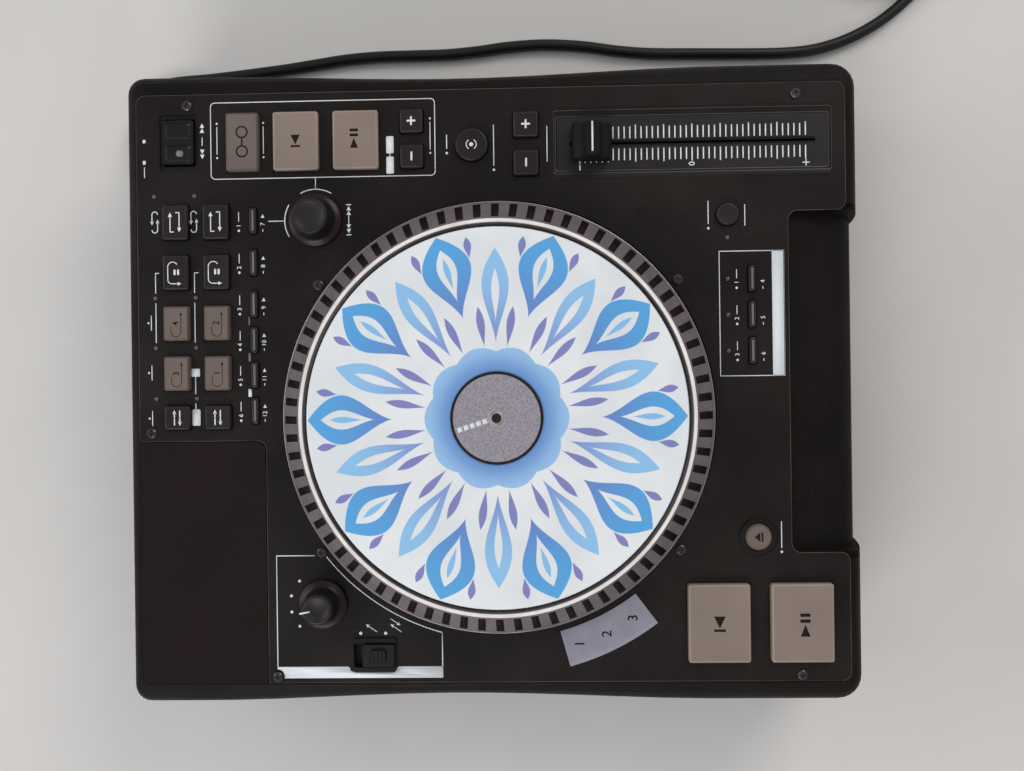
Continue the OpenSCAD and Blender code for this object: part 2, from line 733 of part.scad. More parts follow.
motor_r = 23;
motor_h = 5;
motor_flange_r = 34;
motor_flange_t = 3;
bearing_r = 9;
bearing_up = 4;
bearing_down = 16;
rotor_r = 27;
hub_z = panel_z + platter_rise - 11;
mat_z = panel_z + platter_rise;
mat_t = 0.5;
disc_z = mat_z + mat_t;
disc_top = disc_z + disc_t;
label_t = 0.8;
spindle_top = disc_top + spindle_over - 0.4;
spindle_tip = 0.8;
shaft_foot = well_z - bearing_down + 1;

module motor_base() {
    color([0.55, 0.55, 0.56]) translate(platter) difference() {
        union() {
            translate([0, 0, well_z - well_floor_t - motor_flange_t])
                cylinder(h = motor_flange_t, r = motor_flange_r);
            translate([0, 0, well_z - bearing_down]) cylinder(h = bearing_down + bearing_up, r = bearing_r);
            translate([0, 0, well_z - well_floor_t - 1]) cylinder(h = well_floor_t + 1 + motor_h, r = motor_r);
        }
        cylinder(h = panel_z + 20, r = spindle_r + spindle_fit);
    }
}

module spindle_rotor() {
    color([0.75, 0.75, 0.74]) translate(platter) {
        translate([0, 0, shaft_foot]) cylinder(h = spindle_top - spindle_tip - shaft_foot, r = spindle_r);
        translate([0, 0, spindle_top - spindle_tip])
            cylinder(h = spindle_tip, r1 = spindle_r, r2 = spindle_r - 0.9);
        rotate_extrude() polygon([[spindle_r - 0.5, hub_z - 5], [rotor_r, hub_z - 5], [rotor_r, well_z + 0.9],
            [motor_r + 1.4, well_z + 0.9], [motor_r + 1.4, hub_z - 7], [spindle_r - 0.5, hub_z - 7]]);
        translate([0, 0, hub_z - 6]) cylinder(h = 6, r = bearing_r);
    }
}

mark_count = 72;
bevel_r = platter_r - 0.5;
bevel_z = panel_z + 9;
ring_top = mat_z + 1.5;

module platter() {
    bore = spindle_r + spindle_fit;
    color([0.42, 0.4, 0.4]) translate(platter) rotate_extrude($fn = 180)
        polygon([[bore, mat_z], [recess_r, mat_z], [recess_r, ring_top], [ring_r, ring_top],
            [ring_r + 0.9, ring_top - 0.9], [bevel_r, bevel_z], [platter_r, bevel_z - 1],
            [platter_r, panel_z - 4], [platter_r - 2.4, panel_z - 4], [platter_r - 2.4, bevel_z - 1.4],
            [ring_r - 0.4, mat_z - 2.5], [14, mat_z - 2.5], [14, hub_z], [bore, hub_z]]);
}

module slipmat() {
    color([0.12, 0.12, 0.13]) translate([platter_x, platter_y, mat_z]) difference() {
        cylinder(h = mat_t, r = mat_r, $fn = 120);
        translate([0, 0, -1]) cylinder(h = 3, r = spindle_r + spindle_fit);
    }
}

module control_disc() {
    color([0.88, 0.89, 0.9]) translate([platter_x, platter_y, disc_z]) difference() {
        union() {
            cylinder(h = disc_t - 0.3, r = disc_r, $fn = 180);
            translate([0, 0, disc_t - 0.3]) cylinder(h = 0.3, r1 = disc_r, r2 = disc_r - 0.4, $fn = 180);
        }
        translate([0, 0, -1]) cylinder(h = disc_t + 2, r = spindle_r + spindle_fit);
    }
}

module disc_label() {
    color([0.3, 0.29, 0.29]) translate([platter_x, platter_y, disc_top]) difference() {
        union() {
            cylinder(h = label_t - 0.3, r = label_r);
            translate([0, 0, label_t - 0.3]) cylinder(h = 0.3, r1 = label_r, r2 = label_r - 0.4);
        }
        translate([0, 0, -1]) cylinder(h = 3, r = spindle_r + spindle_fit);
    }
}

// ---- Fader, knobs and switches ----

track_w = 22;
track_l = 124;
track_z = board_z;
wiper = [7, 10, 5];
wiper_z = track_z + 3;
slot_over = 8;
bay_over = 4;

module fader_track() {
    slot_l = fader_travel + blade[1] + slot_over;
    bay_l = fader_travel + wiper[1] + bay_over;
    color([0.13, 0.12, 0.12]) translate([fader_x, fader_y, 0]) difference() {
        union() {
            slab(panel_u - 0.1, panel_t - 0.9) rounded(fader_plate[0], fader_plate[1], 1.8);
            slab(panel_u - 1.5, 1.5)
                square([fader_box[0] - 0.6, fader_box[1] - 2.4], center = true);
            slab(track_z, panel_u - 1.5 - track_z) square([track_w, track_l], center = true);
        }
        translate([0, 0, panel_u + 2]) cube([fader_slot_w, slot_l, 20], center = true);
        translate([0, 0, wiper_z + wiper[2] / 2])
            cube([wiper[0] + 0.8, bay_l, wiper[2] + 1], center = true);
    }
}

module fader_cap() {
    foot = panel_z + 0.6;
    top = foot + cap_h;
    color([0.15, 0.14, 0.14]) translate([fader_x, fader_rest_y, 0]) {
        block(-blade[0] / 2, blade[0] / 2, -blade[1] / 2, blade[1] / 2, wiper_z + 1, foot + 1);
        block(-wiper[0] / 2, wiper[0] / 2, -wiper[1] / 2, wiper[1] / 2, wiper_z, wiper_z + wiper[2]);
        rotate([90, 0, 90]) slab(-cap_w / 2, cap_w)
            polygon([[-cap_l / 2, foot], [cap_l / 2, foot], [cap_l / 2, foot + 3], [cap_l / 2 - 1.6, foot + 5.5],
                [3.6, foot + cap_h * 0.6], [3.2, top - 0.4], [2.6, top], [-2.6, top], [-3.2, top - 0.4],
                [-3.6, foot + cap_h * 0.6], [1.6 - cap_l / 2, foot + 5.5], [-cap_l / 2, foot + 3]]);
    }
}

module knob(p, r, h, top_r) {
    foot = panel_z + 0.7;
    translate([p[0], p[1], 0]) {
        translate([0, 0, board_top + 1.2]) cylinder(h = foot - board_top, r = shaft_r);
        rotate_extrude($fn = 96)
            polygon([[0, foot], [r, foot], [r, foot + 1.6], [r - 1.4, foot + 2.4], [top_r + 0.8, foot + 4.4],
                [top_r, foot + h - 1], [top_r - 0.8, foot + h], [top_r - 1.8, foot + h], [top_r - 3.4, foot + h - 1],
                [0, foot + h - 1.6]]);
    }
}

module parameter_knob() {
    color([0.14, 0.13, 0.13]) knob(knob_at, knob_r, knob_h, knob_r * 0.74);
}

module selector_knob() {
    color([0.14, 0.13, 0.13]) {
        knob(selector_at, selector_r, selector_h, selector_r * 0.68);
        translate([selector_at[0], selector_at[1], panel_z + 0.7]) rotate(selector_rest)
            block(-0.7, 0.7, selector_r * 0.55, selector_r * 0.68 + 1.2, 3, selector_h - 0.6);
    }
}

module scratch_switch() {
    y0 = switch_at[1] + switch_off;
    top = panel_z + 2.2;
    color([0.13, 0.12, 0.12]) translate([switch_at[0], y0, 0]) {
        slab(panel_u + 0.4, top - panel_u - 0.4)
            rounded(switch_key[0], switch_key[1], 1);
        translate([0, 0, top - 0.1]) linear_extrude(1.4, scale = 0.85) rounded(6.4, 8, 1.4);
        block(-3, 3, -3, 3, board_top + slide_body[2] + 0.2, panel_u + 1);
    }
}

module search_rocker() {
    hub = panel_u - 1;
    color([0.13, 0.12, 0.12]) translate([search_at[0], search_at[1], 0]) {
        slab(panel_u + 0.8, panel_t + 0.6) rounded(search_w - 0.8, search_d, 1.2);
        for (s = [-1, 1]) translate([s * search_w / 4, 0, panel_z + 1.3])
            linear_extrude(0.8, scale = 0.8) rounded(search_w / 2 - 3, search_d - 2, 1.4);
        block(-2, 2, -search_d / 2 + 1, search_d / 2 - 1, hub, panel_u + 1);
        for (s = [-1, 1]) post(s * search_stem_x, 0, stem_r, stem_z, panel_u + 1);
        rotate([90, 0, 0]) translate([0, 0, -search_d / 2 + 1]) translate([0, hub, 0])
            cylinder(h = search_d - 2, r = 2, $fn = 24);
    }
}

// ---- Rear panel ----

rear_panel_y = rear_y - wall;
rear_t = 1.5;
jack_z = foot_h + 26;
jack_r = 4.1;
jack_bore_r = 1.7;
jack_nut_r = 6;
small_jack_r = 3;
small_bore_r = 1.8;
small_nut_r = 5;
jack_in = 10;
jack_nut_t = 3;
jack_floor = 2;
jack_ring_t = 1.2;
small_jack_reach = 2;
socket_block = [8, 5, 7];
power_key = [14.2, 10.2];
jack_x = [-104, -86, -60, -42];
small_jack_x = [-16, 2, 20];
power_in = 6;
power_out = 4.5;
power_at = [78, 42];
gland_r = 4.3;
boot_r = 5.2;
gland_at = [114, 21];

module rear_plate_holes() {
    for (x = jack_x) translate([x, jack_z]) circle(jack_r + gap);
    for (x = small_jack_x) translate([x, jack_z]) circle(small_jack_r + seam);
    translate(power_at) rounded(power_key[0] + 2 * key_gap, power_key[1] + 2 * key_gap, 1.5);
    translate(gland_at) circle(gland_r + gap);
}

module facing_rear(y0, t) {
    translate([0, y0 + t, 0]) rotate([90, 0, 0]) linear_extrude(t) children();
}

module rear_panel() {
    zm = (rear_open_z[0] + rear_open_z[1]) / 2;
    h = rear_open_z[1] - rear_open_z[0] + 6;
    color([0.12, 0.12, 0.12]) facing_rear(rear_panel_y - rear_t, rear_t) difference() {
        translate([0, zm]) square([rear_open_w + 6, h], center = true);
        rear_plate_holes();
    }
}

// A jack with a nut round its inner end: its centre, radius, bore, nut and reach behind the rear panel
module jack(x, r, bore_r, nut_r, reach) {
    y = rear_panel_y - rear_t - jack_in;
    l = rear_panel_y + reach - y;
    translate([x, 0, jack_z]) difference() {
        union() {
            facing_rear(y, l) circle(r);
            facing_rear(y, jack_nut_t) circle(nut_r);
        }
        facing_rear(y + jack_floor, l) circle(bore_r);
    }
}

module audio_jacks() {
    block_y = rear_panel_y - rear_t - jack_in - gap;
    color([0.8, 0.78, 0.7]) {
        for (x = jack_x) {
            jack(x, jack_r, jack_bore_r, jack_nut_r, wall + jack_reach);
            translate([x, 0, jack_z]) facing_rear(rear_panel_y, jack_ring_t) difference() {
                circle(jack_nut_r);
                circle(jack_r - 0.1);
            }
        }
        for (x = small_jack_x) jack(x, small_jack_r, small_bore_r, small_nut_r, small_jack_reach);
        block(jack_x[0] - socket_block[0], small_jack_x[2] + socket_block[0], block_y - socket_block[1], block_y,
            main_board_z + board_t, jack_z + socket_block[2]);
    }
}

module power_button() {
    color([0.14, 0.13, 0.13]) {
        facing_rear(rear_panel_y - rear_t - power_in, rear_t + power_in + power_out)
            translate(power_at) rounded(power_key[0], power_key[1], 1.2);
        facing_rear(rear_panel_y - rear_t - 2.4, 2)
            translate(power_at) rounded(power_key[0] + 2.4, power_key[1] + 2.4, 1.2);
    }
}

// ---- Mains lead ----

boot_tip = [130.5, 188.5, 15];
boot_out = 5;
boot_root = [gland_at[0], rear_panel_y + boot_out, gland_at[1]];
coil_at = [259, -219.5];
coil_turn_r = [coil_r - 2 * cord_d, coil_r + 2 * cord_d];
cord_r = cord_d / 2;
rest_z = 3.1;
lead_route = [boot_tip, [135.5, 192.4, 13.2], [141.4, 194.8, 11.2], [147.6, 195.6, 9.2], [153.8, 194.8, 7.3],
    [159.6, 192.4, 5.7], [164.6, 188.6, 4.5], [168.4, 183.6, 3.7], [170.8, 177.8, 3.3], [171.8, 171, rest_z],
    [172.6, 158, rest_z], [174.1, 142, rest_z], [175.7, 127, rest_z], [177.4, 112, rest_z],
    [179.7, 96, rest_z], [182, 79, rest_z], [183.2, 61, rest_z], [183.4, 42, rest_z], [183.6, 24, rest_z],
    [184.9, 7, rest_z], [187, -11, rest_z], [187.8, -31, rest_z], [186.3, -52, rest_z], [183.5, -70, rest_z],
    [181.7, -89, rest_z], [181, -115, rest_z], [180.4, -140, rest_z], [180.3, -160, rest_z], [181.5, -176, rest_z],
    [184.4, -188.5, rest_z], [189, -200.5, rest_z], [195.2, -212, rest_z], [202.4, -222, rest_z],
    [210, -230.6, rest_z], [218, -239.5, rest_z], [226, -248.5, rest_z]];
tail_route = [[303, -219.5, 9], [303.4, -207, 8.6], [303.8, -196, 7.6], [304, -186, 6.6]];
plug_y = -186;
plug_x = 304;
plug_t = 13;
plug_l = 36;
pin_pitch = 19;
pin_r = 2;
pin_l = 18;

// A round tube along the points of a route
function unit(v) = v / norm(v);
function heading(route, i) = unit(route[min(i + 1, len(route) - 1)] - route[max(i - 1, 0)]);
function ring_about(p, t, r, n) =
    let (s = unit(cross(t, [0, 0, 1])), u = cross(s, t))
    [for (j = [0 : n - 1]) let (a = 360 * j / n) p + r * (cos(a) * s + sin(a) * u)];

module tube(route, r, n = 12) {
    skin([for (i = [0 : len(route) - 1]) ring_about(route[i], heading(route, i), r, n)]);
}

module strain_relief() {
    run = boot_tip - boot_root;
    color([0.07, 0.07, 0.07]) {
        facing_rear(rear_panel_y - rear_t - 3, rear_t + 5) translate(gland_at) circle(gland_r);
        facing_rear(rear_panel_y, 2) translate(gland_at) circle(gland_r + 2.7);
        facing_rear(rear_panel_y, boot_out) translate(gland_at) circle(boot_r - 0.2);
        translate(boot_root) sphere(r = boot_r, $fn = 32);
        translate(boot_root) rotate([0, acos(run[2] / norm(run)), atan2(run[1], run[0])])
            cylinder(h = norm(run), r1 = boot_r, r2 = cord_r + 0.8);
    }
}

module mains_cord() {
    color([0.06, 0.06, 0.06]) {
        tube(lead_route, cord_r);
        tube(tail_route, cord_r);
    }
}

module cord_coil() {
    lo = coil_turn_r[0];
    hi = coil_turn_r[1];
    h = 2 * cord_d + 0.1;
    e = cord_d / 3;
    color([0.06, 0.06, 0.06]) translate([coil_at[0], coil_at[1], 0]) rotate_extrude($fn = 72)
        polygon([[lo, e], [lo + e, 0], [hi - e, 0], [hi, e],
            [hi, h - e], [hi - e, h], [lo + e, h], [lo, h - e]]);
}

module mains_plug() {
    color([0.06, 0.06, 0.06]) translate([plug_x, plug_y, plug_t / 2 + 0.1]) rotate([-90, 0, 0]) {
        linear_extrude(plug_l, scale = [1.6, 1], slices = 1) rounded(21, plug_t, 6);
        for (s = [-1, 1]) translate([s * pin_pitch / 2, 0, plug_l - 1]) {
            cylinder(h = pin_l, r = pin_r, $fn = 24);
            translate([0, 0, pin_l]) cylinder(h = 1.6, r1 = pin_r, r2 = pin_r * 0.6, $fn = 24);
        }
    }
}

for (k = KEYS) key_cap(k);
base_plate();
case_shell();
top_panel();
rear_panel();
rubber_feet();
screws();
display_window();
display_module();
fader_track();
circuit_boards();
disc_drive();
motor_base();
source_indicator();
audio_jacks();
platter();
slipmat();
spindle_rotor();
control_disc();
disc_label();
fader_cap();
parameter_knob();
selector_knob();
scratch_switch();
search_rocker();
power_button();
strain_relief();
mains_cord();
cord_coil();
mains_plug();
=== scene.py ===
# %% [markdown]
# A tabletop disc player lies flat and is seen from above. Its solids are packed already, with their
# joints. This script loads them as a fixed frame and gives them their finish. It adds what solids are too
# plain for: rounded keys, printed signs, the strobe marks on the platter, the pattern on the control disc
# and the lead. Lengths in the cells are in millimetres, as a drawing has them, and MM turns them into
# Blender's metres.

# %% The fixed frame
import json
import math

import bpy
from mathutils import Matrix, Vector


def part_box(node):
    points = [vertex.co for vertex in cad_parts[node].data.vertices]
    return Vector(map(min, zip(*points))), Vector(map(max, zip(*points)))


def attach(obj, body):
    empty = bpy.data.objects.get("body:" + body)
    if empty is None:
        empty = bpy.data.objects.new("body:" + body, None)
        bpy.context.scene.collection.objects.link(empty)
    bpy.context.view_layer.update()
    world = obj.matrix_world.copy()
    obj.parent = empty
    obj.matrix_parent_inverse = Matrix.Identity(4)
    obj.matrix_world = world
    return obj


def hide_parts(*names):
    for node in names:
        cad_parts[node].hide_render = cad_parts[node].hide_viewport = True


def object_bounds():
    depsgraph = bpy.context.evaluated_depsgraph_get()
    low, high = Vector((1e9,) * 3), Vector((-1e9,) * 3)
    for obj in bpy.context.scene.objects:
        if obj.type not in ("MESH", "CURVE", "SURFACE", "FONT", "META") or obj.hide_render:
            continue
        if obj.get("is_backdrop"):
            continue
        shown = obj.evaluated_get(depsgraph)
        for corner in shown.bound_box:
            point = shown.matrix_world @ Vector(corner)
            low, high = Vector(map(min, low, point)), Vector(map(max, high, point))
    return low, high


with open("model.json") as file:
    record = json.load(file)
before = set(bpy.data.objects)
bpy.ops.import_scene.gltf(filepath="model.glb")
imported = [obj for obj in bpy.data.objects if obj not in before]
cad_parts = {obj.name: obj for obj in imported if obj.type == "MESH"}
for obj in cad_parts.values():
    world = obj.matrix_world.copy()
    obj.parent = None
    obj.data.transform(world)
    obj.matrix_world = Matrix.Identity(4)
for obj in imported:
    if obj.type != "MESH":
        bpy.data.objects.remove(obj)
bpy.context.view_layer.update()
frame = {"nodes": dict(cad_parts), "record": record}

MM = 0.001
BODY_OF = {node: body for body, nodes in frame["record"]["behaviour"]["bodies"].items() for node in nodes}

# %% [markdown]
# The camera hangs over the player and looks almost straight down, with the front of the player at the
# right. A camera can be turned by angles or aimed by a constraint. Here its three axes are written down,
# because a camera that looks straight down has no clear upward direction of its own.

# %% Camera
lens = bpy.data.cameras.new("overhead")
lens.sensor_width = 36
lens.lens = 36.21
lens.clip_start = 0.01
camera = bpy.data.objects.new("overhead", lens)
axes = Matrix(((-0.01289, -0.99946, -0.03033), (0.99992, -0.01286, -0.00114), (0.00075, -0.03034, 0.99954)))
camera.matrix_world = Matrix.Translation((0.00014, -0.02737, 0.57314)) @ axes.transposed().to_4x4()
bpy.context.scene.collection.objects.link(camera)
bpy.context.scene.camera = camera
print("camera stands", round(camera.matrix_world.translation.z / MM), "mm over the floor")

# %% [markdown]
# The mains lead leaves a tapered boot at the rear, drops to the table and runs along the right side. What
# is left over lies in a round coil in two layers at the front. A lead could be simulated as a rope, but
# its route is known point by point, so a smooth line through those points is exact, quick and the same on
# every run.

# %% Route of the mains lead
CORD_D = 6.0
lead_route = [(130.5, 188.5, 15), (135.5, 192.4, 13.2), (141.4, 194.8, 11.2), (147.6, 195.6, 9.2),
    (153.8, 194.8, 7.3), (159.6, 192.4, 5.7), (164.6, 188.6, 4.5), (168.4, 183.6, 3.7), (170.8, 177.8, 3.3),
    (171.8, 171, 3.1), (172.6, 158, 3.1), (174.1, 142, 3.1), (175.7, 127, 3.1), (177.4, 112, 3.1),
    (179.7, 96, 3.1), (182, 79, 3.1), (183.2, 61, 3.1), (183.4, 42, 3.1), (183.6, 24, 3.1), (184.9, 7, 3.1),
    (187, -11, 3.1), (187.8, -31, 3.1), (186.3, -52, 3.1), (183.5, -70, 3.1), (181.7, -89, 3.1),
    (181, -115, 3.1), (180.4, -140, 3.1), (180.3, -160, 3.1), (181.5, -176, 3.1), (184.4, -188.5, 3.1),
    (189, -200.5, 3.1), (195.2, -212, 3.1), (202.4, -222, 3.1), (210, -230.6, 3.1), (218, -239.5, 3.1)]
tail_route = [(303.4, -207, 8.6), (303.8, -196, 7.6), (304, -186, 6.6)]

COIL_X, COIL_Y, COIL_R, CORE_R = 259.0, -219.5, 44.0, 26.0
COIL_START = 221.3                            # degrees at which the lead comes in
INWARD, CLIMB, OUTWARD = 1080, 1170, 1938.7   # degrees turned at the end of each stretch
ON_TABLE = 3.1


def coil_point(turned):
    """A point of the coil after so many degrees: inwards on the table, up, then outwards on top."""
    if turned < INWARD:
        radius, height = COIL_R - (COIL_R - CORE_R) * turned / INWARD, ON_TABLE
    elif turned < CLIMB:
        radius, height = CORE_R, ON_TABLE + CORD_D / 2 * (1 - math.cos(math.radians(2 * (turned - INWARD))))
    else:
        radius = CORE_R + (COIL_R - CORE_R) * (turned - CLIMB) / (OUTWARD - CLIMB)
        height = ON_TABLE + CORD_D
    angle = math.radians(COIL_START + turned)
    return (COIL_X + radius * math.cos(angle), COIL_Y + radius * math.sin(angle), height)


coil_route = [coil_point(OUTWARD * i / 120) for i in range(121)]


def smooth_line(points, steps=5):
    """A denser line that passes through all the points without corners."""
    p = [Vector(q) for q in (points[0], *points, points[-1])]
    line = []
    for a, b, c, d in zip(p, p[1:], p[2:], p[3:]):
        for k in range(steps):
            t = k / steps
            line.append(0.5 * (2 * b + (c - a) * t + (2 * a - 5 * b + 4 * c - d) * t * t
                + (3 * b - a - 3 * c + d) * t ** 3))
    return line + [p[-1]]


cord_line = smooth_line(lead_route + coil_route + tail_route)
cord_length = sum((b - a).length for a, b in zip(cord_line, cord_line[1:]))
print("mains lead:", round(cord_length), "mm long in", len(cord_line), "points")

# %% [markdown]
# A tube is a row of rings along a line. A curve with a round section would do it in two lines, but its
# control points count as part of its size. A sideways direction that is carried from ring to ring keeps
# the skin free of twist.

# %% Round tubes
def tube_rings(line, radii, sides=14):
    """Rings of points square to a line. The side is carried along, so that the skin doesn't twist."""
    line = [Vector(p) for p in line]
    angles = [math.tau * k / sides for k in range(sides)]
    rings = []
    side = None
    for i, p in enumerate(line):
        ahead = (line[min(i + 1, len(line) - 1)] - line[max(i - 1, 0)]).normalized()
        side = (ahead.orthogonal() if side is None else side - ahead * side.dot(ahead)).normalized()
        across = ahead.cross(side)
        r = radii[i] if isinstance(radii, list) else radii
        rings.append([tuple(p + r * (math.cos(a) * side + math.sin(a) * across)) for a in angles])
    return rings


cord_rings = tube_rings(cord_line, CORD_D / 2)
print("rings along the lead:", len(cord_rings))

# %% [markdown]
# A finish is a small net of shader nodes. Wiring nodes by hand hides the sum that they do, so a number
# that comes out of a node is wrapped in a class whose operators add Math nodes: `1 - mask` then reads as
# it works. Colours keep to Mix nodes, because a Math node would turn a colour into a grey.

# %% Numbers that add their own Math nodes
class Number:
    """A value out of a node. Its sums add Math nodes to the finish that it belongs to."""

    def __init__(self, finish, out):
        self.finish, self.out = finish, out

    def math(self, operation, *values, clamp=False):
        return self.finish.add("Math", {"operation": operation, "use_clamp": clamp}, dict(enumerate(values)))

    def __add__(self, other):
        return self.math("ADD", self, other)

    def __radd__(self, other):
        return self.math("ADD", other, self)

    def __sub__(self, other):
        return self.math("SUBTRACT", self, other)

    def __rsub__(self, other):
        return self.math("SUBTRACT", other, self)

    def __mul__(self, other):
        return self.math("MULTIPLY", self, other)

    def __rmul__(self, other):
        return self.math("MULTIPLY", other, self)

    def __truediv__(self, other):
        return self.math("DIVIDE", self, other)

    def __rtruediv__(self, other):
        return self.math("DIVIDE", other, self)

    def __pow__(self, other):
        return self.math("POWER", self, other)

    def __rpow__(self, other):
        return self.math("POWER", other, self)

    def __abs__(self):
        return self.math("ABSOLUTE", self)

    def limited(self):
        return self.math("ADD", self, 0.0, clamp=True)

    def sine(self):
        return self.math("SINE", self)

    def fraction(self):
        return self.math("FRACT", self)

    def part(self, name):
        return Number(self.finish, self.out.node.outputs[name])


known = [name.strip("_") for name, value in vars(Number).items() if callable(value)]
print("what a number can do:", ", ".join(known))

# %% [markdown]
# Colours are written as an eye reads them on a screen, from 0 to 255, while the shader counts light. The
# curve between the two is worked out here. A colour picker would do it by hand, but then no number in the
# script would say how dark the paint looks.

# %% Colours
def linear(red, green, blue):
    """The shader's colour for an everyday one, whose parts run from 0 to 255."""
    def one(c):
        c /= 255
        return c / 12.92 if c <= 0.04045 else ((c + 0.055) / 1.055) ** 2.4
    return (one(red), one(green), one(blue), 1.0)


def dimmed(colour, share):
    """The shader's colour with that share of its light."""
    return tuple(min(1.0, c * share) for c in colour[:3]) + (1.0,)


print("half of an everyday 200:", round(dimmed(linear(200, 200, 200), 0.5)[0], 3), "in the shader")

# %% [markdown]
# A finish is a material whose net grows as its sums are written. One method adds any node: it takes the
# node's type, its settings and what goes into its sockets. The others are short names for what nearly
# every finish needs, such as noise of a size in millimetres, a soft step and a relief. Spelling them out
# each time would bury what sets one finish apart from the next.

# %% A finish that is written as sums
class Finish:
    """A material whose net is written as sums."""

    def __init__(self, name):
        self.material = bpy.data.materials.new(name)
        self.material.use_nodes = True
        self.tree = self.material.node_tree
        self.shader = self.tree.nodes["Principled BSDF"]
        self.here = self.add("TexCoord", out="Object")

    def put(self, socket, value):
        if isinstance(value, Number):
            self.tree.links.new(value.out, socket)
        else:
            socket.default_value = value

    def add(self, kind, settings={}, sockets={}, out=0):
        node = self.tree.nodes.new("ShaderNode" + kind)
        for name, value in settings.items():
            setattr(node, name, value)
        for name, value in sockets.items():
            self.put(node.inputs[name], value)
        return Number(self, node.outputs[out])

    def noise(self, size, detail=2.0, roughness=0.5, where=None):
        """Soft cloudy noise whose lumps are about size millimetres across."""
        return self.add("TexNoise", {}, {"Vector": where or self.here, "Scale": 1 / (size * MM),
            "Detail": detail, "Roughness": roughness})

    def rise(self, value, low, high, to_low=0.0, to_high=1.0):
        """to_low below low, to_high above high, and a soft slope between them."""
        return self.add("MapRange", {"interpolation_type": "SMOOTHSTEP"}, {"Value": value, "From Min": low,
            "From Max": high, "To Min": to_low, "To Max": to_high})

    def mix(self, share, a, b, blend="MIX"):
        """Colour a where share is 0 and colour b where it is 1."""
        node = self.add("Mix", {"data_type": "RGBA", "blend_type": blend}).out.node
        for socket, value in ((node.inputs[0], share), (node.inputs[6], a), (node.inputs[7], b)):
            self.put(socket, value)
        return Number(self, node.outputs[2])

    def cloudy(self, cloud, a, b):
        """Colour a in the hollows of a noise and colour b on its lumps."""
        return self.mix(self.rise(cloud, 0.35, 0.65), a, b)

    def bump(self, height, depth):
        """Relief of about depth millimetres for a height from 0 to 1."""
        return self.add("Bump", {}, {"Height": height, "Distance": depth * MM})

    def shade(self, **values):
        for name, value in values.items():
            self.put(self.shader.inputs[name.replace("_", " ")], value)
        return self.material


print("materials that came with the frame:", len(bpy.data.materials))

# %% [markdown]
# Most of the player is plastic, painted steel or paint on aluminium. Under a lamp these differ in three
# ways: how coarse the grain is, how much the gloss wanders where hands have been, and how much dust has
# settled. One recipe with those three knobs serves them all, and stronger recipes follow where a surface
# needs more.

# %% The recipe for plastic and paint
def coated(name, colour, roughness, grain=0.5, depth=0.03, mottle=0.12, smudge=0.08, dust=0.0, metallic=0.0,
        specular=0.35, dust_colour=(120, 112, 104)):
    """Plastic or paint. grain and depth are millimetres, and mottle, smudge and dust are shares."""
    f = Finish(name)
    broad = f.noise(38, 3)
    fine = f.noise(grain, 2)
    base = linear(*colour)
    paint = f.cloudy(0.6 * broad + 0.4 * fine, dimmed(base, 1 - mottle), dimmed(base, 1 + mottle))
    gloss = roughness + smudge * (f.rise(broad, 0.4, 0.62) - 0.5) + 0.05 * (fine - 0.5)
    if dust:
        specks = f.rise(f.noise(1.4, 1), 0.62, 0.74) * f.rise(f.noise(22, 3), 0.42, 0.66)
        veil = dust * (0.35 * f.rise(f.noise(55, 4), 0.38, 0.7) + 0.65 * specks)
        paint = f.mix(veil, paint, linear(*dust_colour))
        gloss = gloss + 0.25 * veil
    return f.shade(Base_Color=paint, Roughness=gloss.limited(), Metallic=metallic,
        Normal=f.bump(fine, depth), Specular_IOR_Level=specular)


chassis_paint = coated("case_black", (16, 12, 10), 0.55, grain=0.9, depth=0.05, dust=0.06, specular=0.12)
panel_paint = coated("panel_black", (22, 17, 15), 0.42, depth=0.012, mottle=0.1, smudge=0.09, dust=0.07,
    specular=0.2)
# a paler finish that paints a highlight on edges where light catches them
panel_edge_highlight = coated("panel_edge_highlight", (72, 66, 63), 0.4, depth=0.01, metallic=0.2)
base_paint = coated("base_black", (30, 29, 29), 0.55, grain=1.2, depth=0.06, specular=0.25)
soft_rubber = coated("soft_rubber", (24, 23, 23), 0.82, grain=0.7, depth=0.08, specular=0.2)
screw_steel = coated("screw_steel", (74, 69, 68), 0.36, metallic=0.7)
trim_black = coated("trim_black", (22, 19, 19), 0.4, grain=0.4, depth=0.02, dust=0.06, specular=0.22)
screen_frame = coated("screen_frame", (46, 44, 47), 0.5, grain=0.6)
grip_black = coated("grip_black", (18, 15, 14), 0.56, grain=0.4, dust=0.05, specular=0.14)
lead_jacket = coated("lead_jacket", (20, 19, 19), 0.46, grain=1.0, dust=0.05, specular=0.28)
print("finishes so far:", len(bpy.data.materials))

# %% [markdown]
# Knobs, keys, ink and small trim take the same recipe with other colours. A key has a second finish for
# its edge: a lighter one that paints a highlight on the dark and pale keys, and a darker one that paints
# shade on the smoked keys. It could be one finish with a mask, but two flat ones bake cleanly and are given
# to faces by their number.

# %% Finishes of the controls and the ink
knob_grip = coated("knob_grip", (27, 23, 24), 0.55, depth=0.04, dust=0.06, specular=0.22)
knob_skirt = coated("knob_skirt", (37, 19, 20), 0.36, depth=0.02, specular=0.25)
knob_crown = coated("knob_crown", (31, 26, 28), 0.46, grain=0.45, depth=0.04, dust=0.12, specular=0.3)
dark_cap = coated("dark_cap", (33, 26, 26), 0.48, dust=0.06, specular=0.22)
# lighter than the cap: a painted highlight on the key's edge
dark_cap_edge_highlight = coated("dark_cap_edge_highlight", (42, 35, 34), 0.42, depth=0.02, specular=0.25)
pale_cap = coated("pale_cap", (130, 115, 106), 0.5, grain=0.45, mottle=0.07, dust=0.12,
    dust_colour=(156, 142, 126))
